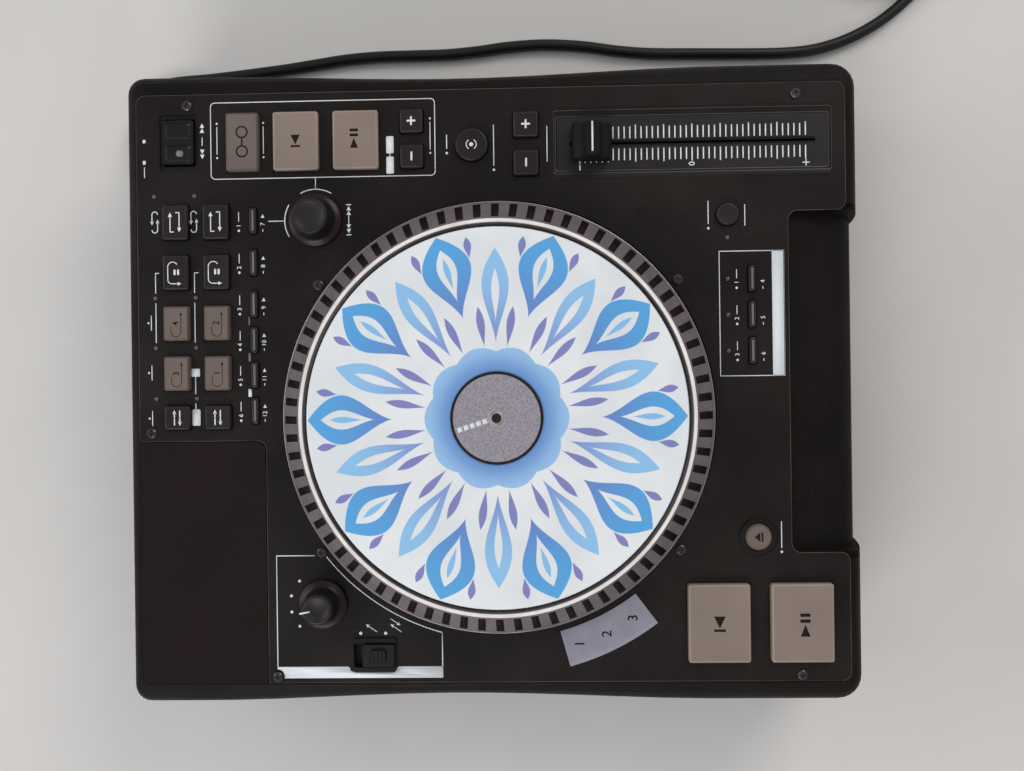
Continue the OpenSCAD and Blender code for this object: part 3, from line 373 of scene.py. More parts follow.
# lighter than the cap: a painted highlight on the key's edge
pale_cap_edge_highlight = coated("pale_cap_edge_highlight", (144, 129, 116), 0.44, depth=0.02, mottle=0.08)
smoke_cap = coated("smoke_cap", (105, 92, 86), 0.5, grain=0.45, mottle=0.07, dust=0.12,
    dust_colour=(140, 128, 116))
# darker than the cap: painted shade on the key's edge
smoke_cap_edge_shade = coated("smoke_cap_edge_shade", (84, 73, 67), 0.44, depth=0.02, mottle=0.08)
ridge_grey = coated("ridge_grey", (108, 104, 111), 0.42, depth=0.02)
white_ink = coated("white_ink", (224, 229, 233), 0.6, depth=0.01, mottle=0.06)
dark_ink = coated("dark_ink", (34, 22, 19), 0.65, depth=0.01, mottle=0.1, specular=0.12)
mark_grey = coated("mark_grey", (122, 117, 127), 0.5, depth=0.02)
socket_white = coated("socket_white", (206, 203, 196), 0.42, grain=0.4, depth=0.01)
socket_red = coated("socket_red", (150, 26, 22), 0.42, grain=0.4, depth=0.01)
lamp_lens = coated("lamp_lens", (84, 74, 76), 0.22, grain=0.4, depth=0.01, specular=0.5)
print("finishes with the controls:", len(bpy.data.materials))

# %% [markdown]
# Metal is a finish of its own. Turned parts carry rings from the tool, brushed ones carry streaks, and
# cast or plated ones are smooth with a little cloud in their gloss. The rings of the platter run round
# its axis, so the net works out the distance from that axis and lets a sine of it lift the surface.

# %% Metals
PLATTER_X, PLATTER_Y = -15.0, -6.0


def off_axis(f):
    """Where a point lies from the platter's axis, in millimetres and seen from above."""
    return f.add("VectorMath", {"operation": "MULTIPLY_ADD"},
        {0: f.here, 1: (1 / MM, 1 / MM, 0), 2: (-PLATTER_X, -PLATTER_Y, 0)})


def distance(f):
    """Distance from the platter's axis in millimetres."""
    return f.add("VectorMath", {"operation": "LENGTH"}, {0: off_axis(f)}, out="Value")


def grooves(radius, pitch):
    """A wave from 0 to 1 that comes back after each pitch of the radius."""
    return (radius * (math.tau / pitch)).sine() * 0.5 + 0.5


def turned_metal(name, colour, roughness, pitch, depth, metallic=1.0):
    f = Finish(name)
    rings = grooves(distance(f), pitch)
    cloud = f.noise(9, 3)
    base = linear(*colour)
    return f.shade(Base_Color=f.cloudy(cloud, dimmed(base, 0.86), base), Metallic=metallic,
        Roughness=(roughness + 0.14 * (cloud - 0.5) + 0.06 * rings).limited(), Normal=f.bump(rings, depth))


def streaked_metal(name, colour, roughness, stretch=0.04, metallic=1.0):
    """Brushed metal, whose streaks run along the depth of the player."""
    f = Finish(name)
    along = f.add("VectorMath", {"operation": "MULTIPLY"}, {0: f.here, 1: (1, stretch, 1)})
    streaks = f.noise(0.9, 3, where=along)
    cloud = f.noise(16, 3)
    base = linear(*colour)
    tint = f.cloudy(0.5 * streaks + 0.5 * cloud, dimmed(base, 0.8), base)
    return f.shade(Base_Color=tint, Metallic=metallic,
        Roughness=(roughness + 0.2 * (cloud - 0.5)).limited(), Normal=f.bump(streaks, 0.01))


# near-white with little metal: a painted highlight for the polished ring's reflection
polished_ring_highlight = turned_metal("polished_ring_highlight", (240, 236, 230), 0.22, 0.4, 0.004, metallic=0.1)
# paler than the slope: a painted highlight along the platter's rim
rim_highlight_alloy = turned_metal("rim_highlight_alloy", (156, 148, 148), 0.34, 0.5, 0.006, metallic=0.3)
slope_alloy = turned_metal("slope_alloy", (116, 106, 110), 0.46, 0.6, 0.01, metallic=0.2)
strobe_paint = coated("strobe_paint", (28, 18, 18), 0.6, depth=0.01, specular=0.1)
motor_alloy = turned_metal("motor_alloy", (150, 150, 152), 0.4, 0.8, 0.02)
drive_steel = streaked_metal("drive_steel", (172, 174, 176), 0.36)
jack_plating = turned_metal("jack_plating", (206, 178, 112), 0.24, 0.5, 0.004)
pin_plating = streaked_metal("pin_plating", (198, 196, 192), 0.22, stretch=0.1)
fader_plate = streaked_metal("fader_plate", (34, 31, 31), 0.42, stretch=0.03, metallic=0.4)
print("finishes with the metals:", len(bpy.data.materials))

# %% [markdown]
# The spindle's rounded tip is turned steel with a dimple in a bright rim. The dimple could be cut into the
# solid, but it is less than a millimetre deep, so a mask of radius and height paints the shade in it as a
# dark spot instead.

# %% Steel of the spindle
DIMPLE_R, TIP_FROM = 2.1, 105.6


def rotor_steel():
    f = Finish("rotor_steel")
    radius = distance(f)
    height = f.add("SeparateXYZ", {}, {0: f.here}).part("Z") / MM
    cloud = f.noise(4, 2)
    steel = f.cloudy(cloud, linear(150, 146, 146), linear(186, 182, 180))
    # a dark spot over the middle of the tip: painted shade of the dimple
    dimple_shade = f.rise(radius, DIMPLE_R, DIMPLE_R + 0.3, 1.0, 0.0) * f.rise(height, TIP_FROM, TIP_FROM + 0.3)
    return f.shade(Base_Color=f.mix(dimple_shade, steel, linear(50, 38, 36)), Roughness=0.3 + 0.12 * (cloud - 0.5),
        Metallic=0.5, Normal=f.bump(grooves(radius, 0.4), 0.006))


spindle_steel = rotor_steel()
print("dimple:", 2 * DIMPLE_R, "mm across")

# %% [markdown]
# The control disc carries a printed pattern: leaves in rings on white, light blue at the rim and violet
# towards the middle, with a soft blue glow round the label. It could be cut as hundreds of faces, but a
# leaf is easy to say in polar terms: it is where the way across from its midrib is less than its width at
# that radius.

# %% Print on the control disc
def turn_of(f):
    """How far round the platter's axis a point lies, from 0 to 1."""
    parts = f.add("SeparateXYZ", {}, {0: off_axis(f)})
    return f.add("Math", {"operation": "ARCTAN2"}, {0: parts.part("Y"), 1: parts.part("X")}) / math.tau + 0.5


def leaves(f, radius, turn, count, start, end, width, shift):
    """1 on a ring of leaves that point outwards, from radius start to radius end."""
    along = ((radius - start) / (end - start)).limited()
    spot = (turn * count + shift).fraction() - 0.5
    across = abs(spot) * radius * (math.tau / count)
    shape = (along ** 1.5 * math.pi).sine() * width
    return f.rise(shape - across, 0.0, 0.35)


def disc_print():
    f = Finish("disc_print")
    radius, turn = distance(f), turn_of(f)
    fibre = f.noise(0.5, 2)
    cloud = f.noise(30, 2)
    white = f.cloudy(cloud, linear(219, 223, 226), linear(229, 232, 234))
    blue = f.mix(f.rise(radius, 36, 84), linear(96, 118, 190), linear(70, 160, 220))
    pale = f.mix(f.rise(radius, 26, 70), linear(112, 128, 198), linear(132, 188, 232))
    violet = linear(108, 112, 182)
    colour = white
    for count, start, end, width, shift, strength, ink in ((10, 47, 87, 11.5, 0, 0.96, blue),
            (10, 55, 81, 4.6, 0, 1, white), (10, 60, 77, 1.6, 0, 1, pale), (10, 33, 78, 6.4, 0.5, 0.92, pale),
            (10, 42, 69, 2.0, 0.5, 1, white), (20, 31, 52, 2.0, 0, 0.9, violet),
            (20, 73, 84, 1.9, 0, 0.9, violet)):
        colour = f.mix(leaves(f, radius, turn, count, start, end, width, shift) * strength, colour, ink)
    petal = 30.5 + 2.6 * abs((turn * (math.pi * 10)).sine())
    glow = f.mix(f.rise(radius, 21, 33), linear(104, 146, 204), linear(150, 190, 230))
    colour = f.mix(f.rise(radius - petal, -0.25, 0.25, 1.0, 0.0), colour, glow)
    gloss = 0.42 + 0.12 * (cloud - 0.5) + 0.08 * (fibre - 0.5)
    return f.shade(Base_Color=f.mix(0.05 * fibre, colour, linear(120, 126, 134)), Roughness=gloss,
        Normal=f.bump(fibre * 0.6 + grooves(radius, 0.55) * 0.2, 0.02), Specular_IOR_Level=0.4)


disc_vinyl = disc_print()
print("nodes in the disc's print:", len(disc_vinyl.node_tree.nodes))

# %% [markdown]
# Felt, label card, smoked acrylic and the light guide are left. Felt is hair: fine noise at two sizes and
# no gloss. The smoked window is nearly opaque, so a dark glossy colour with a slight alpha tells that a
# screen is below. The light guide is milky and even, because its lamps are off, and a paler band at its rim
# is a painted highlight on its edge.

# %% Felt, card, acrylic and the light guide
def felt(name, colour):
    f = Finish(name)
    hair = 0.6 * f.noise(0.5, 3) + 0.4 * f.noise(2.4, 2)
    base = linear(*colour)
    tint = f.mix(f.rise(hair, 0.4, 0.6), dimmed(base, 0.7), dimmed(base, 1.5))
    return f.shade(Base_Color=tint, Roughness=0.95, Normal=f.bump(hair, 0.12), Specular_IOR_Level=0.1)


def label_card():
    f = Finish("label_card")
    radius = distance(f)
    weave = f.add("TexVoronoi", {"feature": "F1"}, {"Vector": f.here, "Scale": 1 / (0.9 * MM)},
        out="Distance")
    speck = f.noise(0.7, 2)
    card = f.mix(f.rise(0.5 * weave + 0.5 * speck, 0.3, 0.6), linear(126, 120, 129), linear(151, 146, 154))
    colour = f.mix(f.rise(radius, 19.85, 20.1), card, linear(26, 22, 26))
    collar = f.rise(abs(radius - 3.9), 0.2, 0.35, 1.0, 0.0)
    return f.shade(Base_Color=f.mix(collar * 0.6, colour, linear(196, 190, 196)),
        Roughness=0.72 + 0.1 * (speck - 0.5), Normal=f.bump(weave, 0.04), Specular_IOR_Level=0.25)


def smoked_acrylic():
    f = Finish("smoked_acrylic")
    cloud = f.noise(40, 3)
    wipe = f.noise(5, 4)
    tint = f.mix(f.rise(cloud, 0.3, 0.7), linear(23, 12, 13), linear(27, 14, 15))
    return f.shade(Base_Color=tint, Roughness=0.14 + 0.025 * f.rise(wipe, 0.4, 0.8),
        Alpha=0.96 + 0.02 * cloud, Specular_IOR_Level=0.3)


def light_guide():
    f = Finish("light_guide")
    cloud = f.noise(7, 2)
    milk = f.cloudy(cloud, linear(133, 129, 143), linear(138, 134, 148))
    # a paler band at the rim: painted highlight on the guide's edge
    edge = f.rise(distance(f), 120.5, 123, 0.0, 0.5)
    return f.shade(Base_Color=f.mix(edge, milk, linear(150, 147, 158)), Roughness=0.38 + 0.1 * cloud,
        Normal=f.bump(f.noise(0.6, 2), 0.01))


slipmat_felt = felt("slipmat_felt", (52, 50, 54))
label_paper = label_card()
window_acrylic = smoked_acrylic()
indicator_milk = light_guide()
print("finishes with these four:", len(bpy.data.materials))

# %% [markdown]
# The boards inside are green lacquer over copper. Nobody sees them while the case is shut, but the vents
# and the disc slot let a little light in. Drawn tracks would be wasted there, so the cells of a square
# Voronoi texture stand in for them.

# %% Lacquer of the circuit boards
def circuit_lacquer():
    f = Finish("circuit_lacquer")
    cells = f.add("TexVoronoi", {"feature": "F1", "distance": "CHEBYCHEV"},
        {"Vector": f.here, "Scale": 1 / (3.2 * MM)}, out="Distance")
    tracks = f.rise(cells, 0.38, 0.44)
    tint = f.mix(tracks, linear(24, 74, 44), linear(46, 112, 66))
    return f.shade(Base_Color=tint, Roughness=0.34 + 0.1 * f.noise(6, 2), Normal=f.bump(tracks, 0.04))


board_lacquer = circuit_lacquer()
print("finishes in all:", len(bpy.data.materials))

# %% [markdown]
# A mesh piece is a list of points and faces. Most pieces here are stacks of rings: a key is a rounded
# rectangle that steps outwards for its flange and inwards over its edge, a knob is a circle that does the
# same. Sculpting or stacked modifiers could reach such shapes too, but rings say each step as a size. One
# function skins a stack of rings, and small helpers give the rings their form.

# %% From rings to pieces
def rounded(width, depth, radius, steps=5):
    """Points round a rectangle with round corners, counterclockwise."""
    radius = max(0.05, min(radius, width / 2 - 0.01, depth / 2 - 0.01))
    points = []
    for k, (sx, sy) in enumerate(((1, 1), (-1, 1), (-1, -1), (1, -1))):
        for i in range(steps + 1):
            a = math.radians(90 * k + 90 * i / steps)
            points.append((sx * (width / 2 - radius) + radius * math.cos(a),
                sy * (depth / 2 - radius) + radius * math.sin(a)))
    return points


def circle(radius, count=48):
    angles = [math.tau * i / count for i in range(count)]
    return [(radius * math.cos(a), radius * math.sin(a)) for a in angles]


def skin(rings):
    """Points and faces of a closed skin over rings that all have as many points, lowest first."""
    n = len(rings[0])
    faces = [(i * n + j, i * n + (j + 1) % n, (i + 1) * n + (j + 1) % n, (i + 1) * n + j)
        for i in range(len(rings) - 1) for j in range(n)]
    top = (len(rings) - 1) * n
    ends = [tuple(range(n - 1, -1, -1)), tuple(range(top, top + n))]
    return [p for ring in rings for p in ring], faces + ends


def hoop(rings):
    """Points and faces of a skin whose last ring joins the first, as round a hole."""
    points, faces = skin(rings)
    n, last = len(rings[0]), len(points) - len(rings[0])
    return points, faces[:-2] + [(last + j, last + (j + 1) % n, (j + 1) % n, j) for j in range(n)]


def gather(*skins):
    """Points and faces of several skins as one."""
    points, faces = [], []
    for more, ends in skins:
        faces += [tuple(len(points) + i for i in face) for face in ends]
        points += more
    return points, faces


def block(x, y, levels, radius=0.8):
    """A skin of rounded rectangles about x, y. Each level is a width, a depth and a height."""
    return skin([[(x + a, y + b, z) for a, b in rounded(width, depth, radius)] for width, depth, z in levels])


def rearwards(x, z, levels, cover=skin):
    """A skin of circles square to the depth of the player. Each level is a radius and a place along it."""
    return cover([[(x - a, y, z + b) for a, b in circle(radius, 32)] for radius, y in levels])


print("faces of a small block:", len(block(0, 0, [(2, 2, 0), (2, 2, 1)])[1]))

# %% From points to an object that rides on its body
def make_piece(name, points, faces, finishes, body, tags=None, smooth=35, slot=None, replaced=()):
    """An object from points in millimetres. tags says which finish each face takes."""
    mesh = bpy.data.meshes.new(name)
    mesh.from_pydata([(x * MM, y * MM, z * MM) for x, y, z in points], [], faces)
    for finish in finishes:
        mesh.materials.append(finish)
    if tags:
        mesh.polygons.foreach_set("material_index", tags)
    mesh.polygons.foreach_set("use_smooth", [True] * len(mesh.polygons))
    mesh.set_sharp_from_angle(angle=math.radians(smooth))
    piece = bpy.data.objects.new(name, mesh)
    bpy.context.scene.collection.objects.link(piece)
    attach(piece, body)
    if replaced:
        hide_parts(*replaced)
    return piece


def corners_mm(node):
    """The lowest and highest corner of a packed node, in millimetres."""
    low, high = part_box(node)
    return [c / MM for c in low], [c / MM for c in high]


def middle_mm(node):
    """The middle of a packed node, seen from above."""
    low, high = corners_mm(node)
    return (low[0] + high[0]) / 2, (low[1] + high[1]) / 2


print("middle of the panel:", [round(c, 1) for c in middle_mm("top_panel")])

# %% [markdown]
# The lead leaves the case through a boot whose ribs let it bend without a kink. It is a tube along a
# short bent line, with a radius that shrinks to the lead and drops between the ribs. Cutting grooves into
# a cone would give the same ribs with far more faces. A round flange holds it in the rear panel.

# %% Strain relief
BOOT_X, BOOT_Z = 114, 21
FOOT_R, TAPER, GROOVE = 5.0, 1.3, 0.6
boot_line = smooth_line([(BOOT_X, 171, BOOT_Z), (BOOT_X, 174.6, BOOT_Z), (115, 177.8, 20.7),
    (117.6, 180.6, 19.8), (121.4, 183, 18.5), (126, 185.8, 16.8), (130.8, 188.7, 14.9)], 7)
count = len(boot_line)
boot_radii = [FOOT_R - TAPER * i / count - (GROOVE if 8 < i < count - 4 and i % 6 > 3 else 0)
    for i in range(count)]
boot = skin(tube_rings(boot_line, boot_radii, 24))
boot_back = corners_mm("strain_relief")[0][1]
flange = rearwards(BOOT_X, BOOT_Z, [(4.3, boot_back), (4.3, 170.4), (6.9, 170.4), (7.0, 170.8), (7.0, 172.1),
    (6.3, 172.7)])
lead_boot = make_piece("lead_boot", *gather(boot, flange), [lead_jacket], "deck", slot="cord_jacket",
    smooth=40, replaced=["strain_relief"])
print("boot rings:", len(boot_radii))

# %% [markdown]
# The plug widens from a ribbed neck to a face with two round pins, whose inner halves are sleeved in
# plastic. Its section turns from round to an oblong, which a cylinder with a taper can't do, so each ring
# is a rounded rectangle of its own.

# %% Mains plug
PIN_PITCH = 19.0
NECK_RIBS, RIB = 14, 1.4
plug_low, plug_high = corners_mm("mains_plug")
plug_x, plug_y, plug_z = middle_mm("mains_plug")[0], plug_low[1], (plug_low[2] + plug_high[2]) / 2


def plug_ring(width, height, radius, reach):
    return [(plug_x - a, plug_y + reach, plug_z + b) for a, b in rounded(width, height, radius, 8)]


def both_pins(levels):
    """One turned form for each pin. Each level is a radius and a reach from the end of the neck."""
    return [rearwards(plug_x + side, plug_z, [(r, plug_y + reach) for r, reach in levels])
        for side in (-PIN_PITCH / 2, PIN_PITCH / 2)]


neck = []
for k in range(NECK_RIBS):
    groove = RIB if k % 2 else 0
    neck.append((8.2 + 0.24 * k - groove, 8.2 + 0.1 * k - groove, 4, 0.7 * k + 0.4 * (k % 2)))
shell = neck + [(13.4, 10.4, 4.6, 10.6), (16.8, 11.8, 5.4, 13), (20.6, 12.6, 6, 17), (26, 12.9, 6, 25),
    (31.2, 13, 6, 32), (33.4, 13, 6, 34.6), (33.5, 12.9, 6, 35.4), (32.4, 12, 5.6, 36)]
sleeve_levels = [(2.0, 35), (2.0, 45.4), (1.9, 45.5)]
pin_levels = [(1.85, 45), (1.95, 45.6), (1.95, 53.2), (1.5, 54.4), (0.7, 54.6)]
body_skin = skin([plug_ring(*ring) for ring in shell])
plug_shell = make_piece("plug_shell", *gather(body_skin, *both_pins(sleeve_levels)), [lead_jacket], "deck",
    slot="cord_jacket", replaced=["mains_plug"])
plug_pins = make_piece("plug_pins", *gather(*both_pins(pin_levels)), [pin_plating], "deck",
    slot="black_steel")
print("plug:", round(plug_high[1] - plug_low[1], 1), "mm long, pins", PIN_PITCH, "mm apart")

# %% [markdown]
# The lead is one tube along its whole route.

# %% The mains lead as a tube
mains_lead = make_piece("mains_lead", *skin(cord_rings), [lead_jacket], "deck", slot="cord_jacket",
    replaced=("mains_cord", "cord_coil"))
[p * MM for p in cord_line]
print("faces of the lead:", len(mains_lead.data.polygons))

# %% [markdown]
# The packed nodes whose shape is right keep it. Each gets a finish and smooth shading with its sharp
# edges kept. Three small controls also get a bevel as a modifier, so that their edges catch the light as
# moulded edges do. A bevel cut into the mesh would change a shape that the solids have settled already.

# %% Finishes for the packed nodes
def dress(node, finish, bevel=0.0, smooth=30):
    piece = frame["nodes"][node]
    piece.data.materials.clear()
    piece.data.materials.append(finish)
    piece.data.polygons.foreach_set("use_smooth", [True] * len(piece.data.polygons))
    piece.data.set_sharp_from_angle(angle=math.radians(smooth))
    if bevel:
        edge = piece.modifiers.new("edge", "BEVEL")
        edge.width, edge.segments, edge.limit_method = bevel * MM, 2, "ANGLE"
        edge.angle_limit = math.radians(50)
        edge.use_clamp_overlap = True


FINISH_OF = {"top_panel": panel_paint, "rear_panel": base_paint, "base_plate": base_paint,
    "rubber_feet": soft_rubber, "screws": screw_steel, "display_window": window_acrylic,
    "display_module": screen_frame, "fader_track": fader_plate, "circuit_boards": board_lacquer,
    "disc_drive": drive_steel, "motor_base": motor_alloy, "source_indicator": indicator_milk,
    "audio_jacks": jack_plating, "slipmat": slipmat_felt, "spindle_rotor": spindle_steel,
    "control_disc": disc_vinyl, "disc_label": label_paper, "platter": slope_alloy}
for node, finish in FINISH_OF.items():
    dress(node, finish)
dress("case_shell", chassis_paint, smooth=40)
BEVEL_OF = {"scratch_switch": 0.25, "search_rocker": 0.3, "power_button": 0.3}
for node, bevel in BEVEL_OF.items():
    dress(node, trim_black, bevel)
print("packed nodes with a finish:", len(FINISH_OF) + 1 + len(BEVEL_OF))

# %% [markdown]
# Printed signs are thin: a screen print is hundredths of a millimetre. Flat faces a hair over the
# surface, thickened by a Solidify modifier, look the same and stay sharp at any distance. A pen gathers
# them. This first class knows bars and lines, whose corners are mitred as a real pen's would be.

# %% A pen for flat signs
class Strokes:
    """Flat bars and lines in millimetres, gathered as points and faces."""

    def __init__(self):
        self.points, self.faces = [], []

    def fill(self, points):
        first = len(self.points)
        self.points += [tuple(p) for p in points]
        self.faces.append(tuple(range(first, first + len(points))))

    def bar(self, x0, x1, y0, y1, radius=0.0):
        if radius:
            shape = rounded(x1 - x0, y1 - y0, radius, 3)
            self.fill([(x + (x0 + x1) / 2, y + (y0 + y1) / 2) for x, y in shape])
        else:
            self.fill([(x0, y0), (x1, y0), (x1, y1), (x0, y1)])

    def path(self, points, width, closed=False, aside=0.0):
        """A line of even width with mitred corners, on its points or so far to their left."""
        p = [Vector(q) for q in points]
        n = len(p)
        left, right = [], []
        for i in range(n):
            back = p[i] - p[i - 1] if i or closed else p[1] - p[0]
            ahead = p[(i + 1) % n] - p[i] if i < n - 1 or closed else p[-1] - p[-2]
            a, b = back.normalized(), ahead.normalized()
            side = Vector((-(a + b).y, (a + b).x)).normalized()
            mitre = 1 / max(0.5, side.dot(Vector((-a.y, a.x))))
            left.append(p[i] + side * (aside + width / 2) * mitre)
            right.append(p[i] + side * (aside - width / 2) * mitre)
        for i in range(n if closed else n - 1):
            j = (i + 1) % n
            self.fill([right[i], right[j], left[j], left[i]])

    def lines(self, width, *ends):
        """Straight lines of one width. Each is given by the two points it joins."""
        for x0, y0, x1, y1 in ends:
            self.path([(x0, y0), (x1, y1)], width)


trial = Strokes()
trial.path([(0, 0), (4, 0), (4, 3)], 0.5)
print("corner of a bent line:", [round(c, 2) for c in trial.points[1]])

# %% [markdown]
# The pen that draws the signs adds arcs, dots, arrowheads and plain digits to those strokes. The digits
# come from the letter shapes that Blender holds, turned into faces. At the end it makes one mesh of all
# its marks, so that a whole group of signs is a single piece.

# %% Arcs, arrows and digits
class Pen(Strokes):
    """Flat marks that become one thin mesh."""

    def arc(self, x, y, radius, start, end, width, steps=24):
        angles = [math.radians(start + (end - start) * i / steps) for i in range(steps + 1)]
        self.path([(x + radius * math.cos(a), y + radius * math.sin(a)) for a in angles], width)

    def dot(self, x, y, radius):
        self.fill([(x + a, y + b) for a, b in circle(radius, 16)])

    def head(self, x, y, angle, length, width):
        """A filled arrowhead with its tip at x, y, pointing at angle."""
        c, s = math.cos(math.radians(angle)), math.sin(math.radians(angle))
        self.fill([(x, y), (x - length * c - width / 2 * s, y - length * s + width / 2 * c),
            (x - length * c + width / 2 * s, y - length * s - width / 2 * c)])

    def arrow(self, x0, y0, x1, y1, width, head):
        """A line whose last stretch is taken up by an arrowhead of that length."""
        angle = math.atan2(y1 - y0, x1 - x0)
        stop = (x1 - head * 0.8 * math.cos(angle), y1 - head * 0.8 * math.sin(angle))
        self.path([(x0, y0), stop], width)
        self.head(x1, y1, math.degrees(angle), head, head * 0.9)

    def digits(self, text, x, y, height):
        """Plain numbers, from the letter shapes that Blender holds."""
        curve = bpy.data.curves.new("digits", "FONT")
        curve.body, curve.size = text, height / 0.7
        curve.align_x, curve.align_y = "CENTER", "CENTER"
        curve.resolution_u = 3
        curve.offset = height * 0.012
        holder = bpy.data.objects.new("digits", curve)
        mesh = holder.to_mesh()
        first = len(self.points)
        self.points += [(v.co.x + x, v.co.y + y) for v in mesh.vertices]
        self.faces += [tuple(first + i for i in p.vertices) for p in mesh.polygons]
        holder.to_mesh_clear()
        bpy.data.objects.remove(holder)
        bpy.data.curves.remove(curve)

    def make(self, name, height, finish, body, thickness=0.03):
        piece = make_piece(name, [(x, y, height) for x, y in self.points], self.faces, [finish], body)
        for polygon in piece.data.polygons:
            if polygon.normal.z < 0:
                polygon.flip()
        solid = piece.modifiers.new("ink", "SOLIDIFY")
        solid.thickness, solid.offset = thickness * MM, 1.0
        return piece


trial = Pen()
trial.digits("10", 0, 0, 3.0)
print("points in a plain 10:", len(trial.points))

# %% [markdown]
# The keys are moulded caps that stand in holes of the panel, each on a flange that keeps it from falling
# out. The packed solids are plain blocks with a chamfer. A bevel would round a block, but it wouldn't
# dish its top, so each cap is a stack of rings. Its edge takes a second finish: painted highlight on the dark
# and pale keys, painted shade on the smoked ones.

# %% Key caps
PANEL = 83.0                                 # height of the panel's top
PANEL_SHEET, FLANGE_GAP = 3.0, 0.3           # the panel's thickness and the air under it
FLANGE, FLANGE_H = 0.9, 1.5                  # how far a flange stands out and how thick it is
DISH, RIDGE_DISH = 0.1, 0.02


def key_cap(node, finishes, ridge=False, radius=1.2):
    """A cap in its solid's place. It returns its middle and the height of its dished top."""
    low, high = corners_mm(node)
    x, y = middle_mm(node)
    width, depth = high[0] - low[0] - 2 * FLANGE, high[1] - low[1] - 2 * FLANGE
    # a cap that is as wide as it is deep is round, except for the bend keys, which are square
    is_round = abs(width - depth) < 0.01 and "bend" not in node
    top = high[2]
    foot = PANEL - PANEL_SHEET - FLANGE_GAP - FLANGE_H
    soft = min(1.0, depth * 0.24)
    steps = [(-FLANGE, foot), (-FLANGE, foot + FLANGE_H), (0, foot + FLANGE_H), (0, top - soft),
        (0.06 * soft, top - 0.62 * soft), (0.3 * soft, top - 0.22 * soft), (0.72 * soft, top - 0.03),
        (soft, top), (1.5 * soft, top - (RIDGE_DISH if ridge else DISH))]
    rings = []
    for inset, z in steps:
        shape = circle(width / 2 - inset, 40) if is_round else \
            rounded(width - 2 * inset, depth - 2 * inset, radius - inset * 0.7)
        rings.append([(x + a, y + b, z) for a, b in shape])
    points, faces = skin(rings)
    n = len(rings[0])
    # the slopes of the edge take the second finish, with its painted highlight (painted shade on smoked
    # keys), and the top of a ridged cap takes a third one
    tags = [1 if 3 <= i // n <= 6 else 0 for i in range(len(faces) - 2)] + [0, 2 if ridge else 0]
    make_piece(node + "_cap", points, faces, finishes + ([ridge_grey] if ridge else []), BODY_OF[node],
        tags=tags, replaced=[node], slot="dark_key" if dark_cap in finishes else "pale_key")
    return x, y, top - DISH


SMOKE = ["hot_key_high_a", "hot_key_high_b", "hot_key_low_a", "hot_key_low_b", "mode_key", "eject_button"]
PALE = SMOKE + ["second_cue_key", "second_play_key", "cue_button", "play_button"]
FUNCTION = ["function_key_%d" % i for i in range(1, 7)]
MODE = ["platter_mode_key_%d" % i for i in range(1, 4)]
KEYS = [body[:-4] for body in frame["record"]["behaviour"]["bodies"] if body.endswith("_cap")]
place = {}
for node in KEYS:
    finishes = [smoke_cap, smoke_cap_edge_shade] if node in SMOKE else \
        [pale_cap, pale_cap_edge_highlight] if node in PALE else [dark_cap, dark_cap_edge_highlight]
    place[node] = key_cap(node, finishes, ridge=node in FUNCTION + MODE)
print("key caps:", len(place))

# %% [markdown]
# Signs on the keys say what a key does without words: a triangle and two bars for play and pause, a bar
# and a triangle for a return to the cue point, plus and minus for pitch. Each is a small drawing about
# the middle of its key. It could be modelled with its key, but a drawing that takes a size serves both
# play keys.

# %% Signs on the keys
def play_pause(size, dx, dy):
    def draw(pen, x, y):
        x, y = x + dx, y + dy
        pen.head(x + 0.02 * size, y, 0, 0.62 * size, 0.5 * size)
        for start in (0.12, 0.43):
            pen.bar(x + start * size, x + (start + 0.17) * size, y - 0.26 * size, y + 0.26 * size)
    return draw


def to_cue(size):
    def draw(pen, x, y):
        pen.bar(x - 0.42 * size, x - 0.29 * size, y - 0.3 * size, y + 0.3 * size)
        pen.head(x - 0.24 * size, y, 180, 0.62 * size, 0.6 * size)
    return draw


def minus(pen, x, y):
    pen.bar(x - 2.1, x + 2.1, y - 0.45, y + 0.45)


def plus(pen, x, y):
    minus(pen, x, y)
    pen.bar(x - 0.45, x + 0.45, y - 2.1, y - 0.45)
    pen.bar(x - 0.45, x + 0.45, y + 0.45, y + 2.1)


def tap_mark(pen, x, y):
    pen.dot(x, y, 1.0)
    for start in (30, 210):
        pen.arc(x, y, 2.4, start, start + 120, 0.45, 10)


def eject_mark(pen, x, y):
    pen.head(x, y + 2.0, 90, 2.6, 4.4)
    pen.bar(x - 2.2, x + 2.2, y - 2.0, y - 1.2)


def mode_mark(pen, x, y):
    for side in (-4.6, 4.6):
        pen.arc(x + side, y, 2.6, 0, 360, 0.7, 24)
    pen.bar(x - 1.6, x + 1.6, y - 0.35, y + 0.35)


LARGE_SIGNS = {"play_button": play_pause(9.0, -0.8, -1.0), "second_play_key": play_pause(7.6, 0.6, 0.6),
    "cue_button": to_cue(9.0), "second_cue_key": to_cue(7.4), "mode_key": mode_mark}
SMALL_SIGNS = {"second_bend_up_key": plus, "bend_up_key": plus, "second_bend_down_key": minus,
    "bend_down_key": minus, "tap_button": tap_mark, "eject_button": eject_mark}
print("signs of single keys:", len(LARGE_SIGNS) + len(SMALL_SIGNS))

# %% [markdown]
# The loop keys stand in two rows with the same signs: arrows that go round for a loop, its end and its
# exit, and numbers for the stored points. A row could be drawn once and copied, but its two numbers
# differ, so each drawing stays a function and the rows share it.

# %% Signs on the loop keys
def loop_number(text):
    def draw(pen, x, y):
        pen.arc(x - 4, y, 2.4, 90, 270, 0.3, 12)
        pen.lines(0.3, (x - 4, y + 2.4, x - 1.6, y + 2.4), (x - 4, y - 2.4, x + 4.2, y - 2.4))
        pen.head(x + 5.4, y - 2.4, 0, 1.6, 1.3)
        pen.digits(text, x, y + 0.1, 2.9)
    return draw


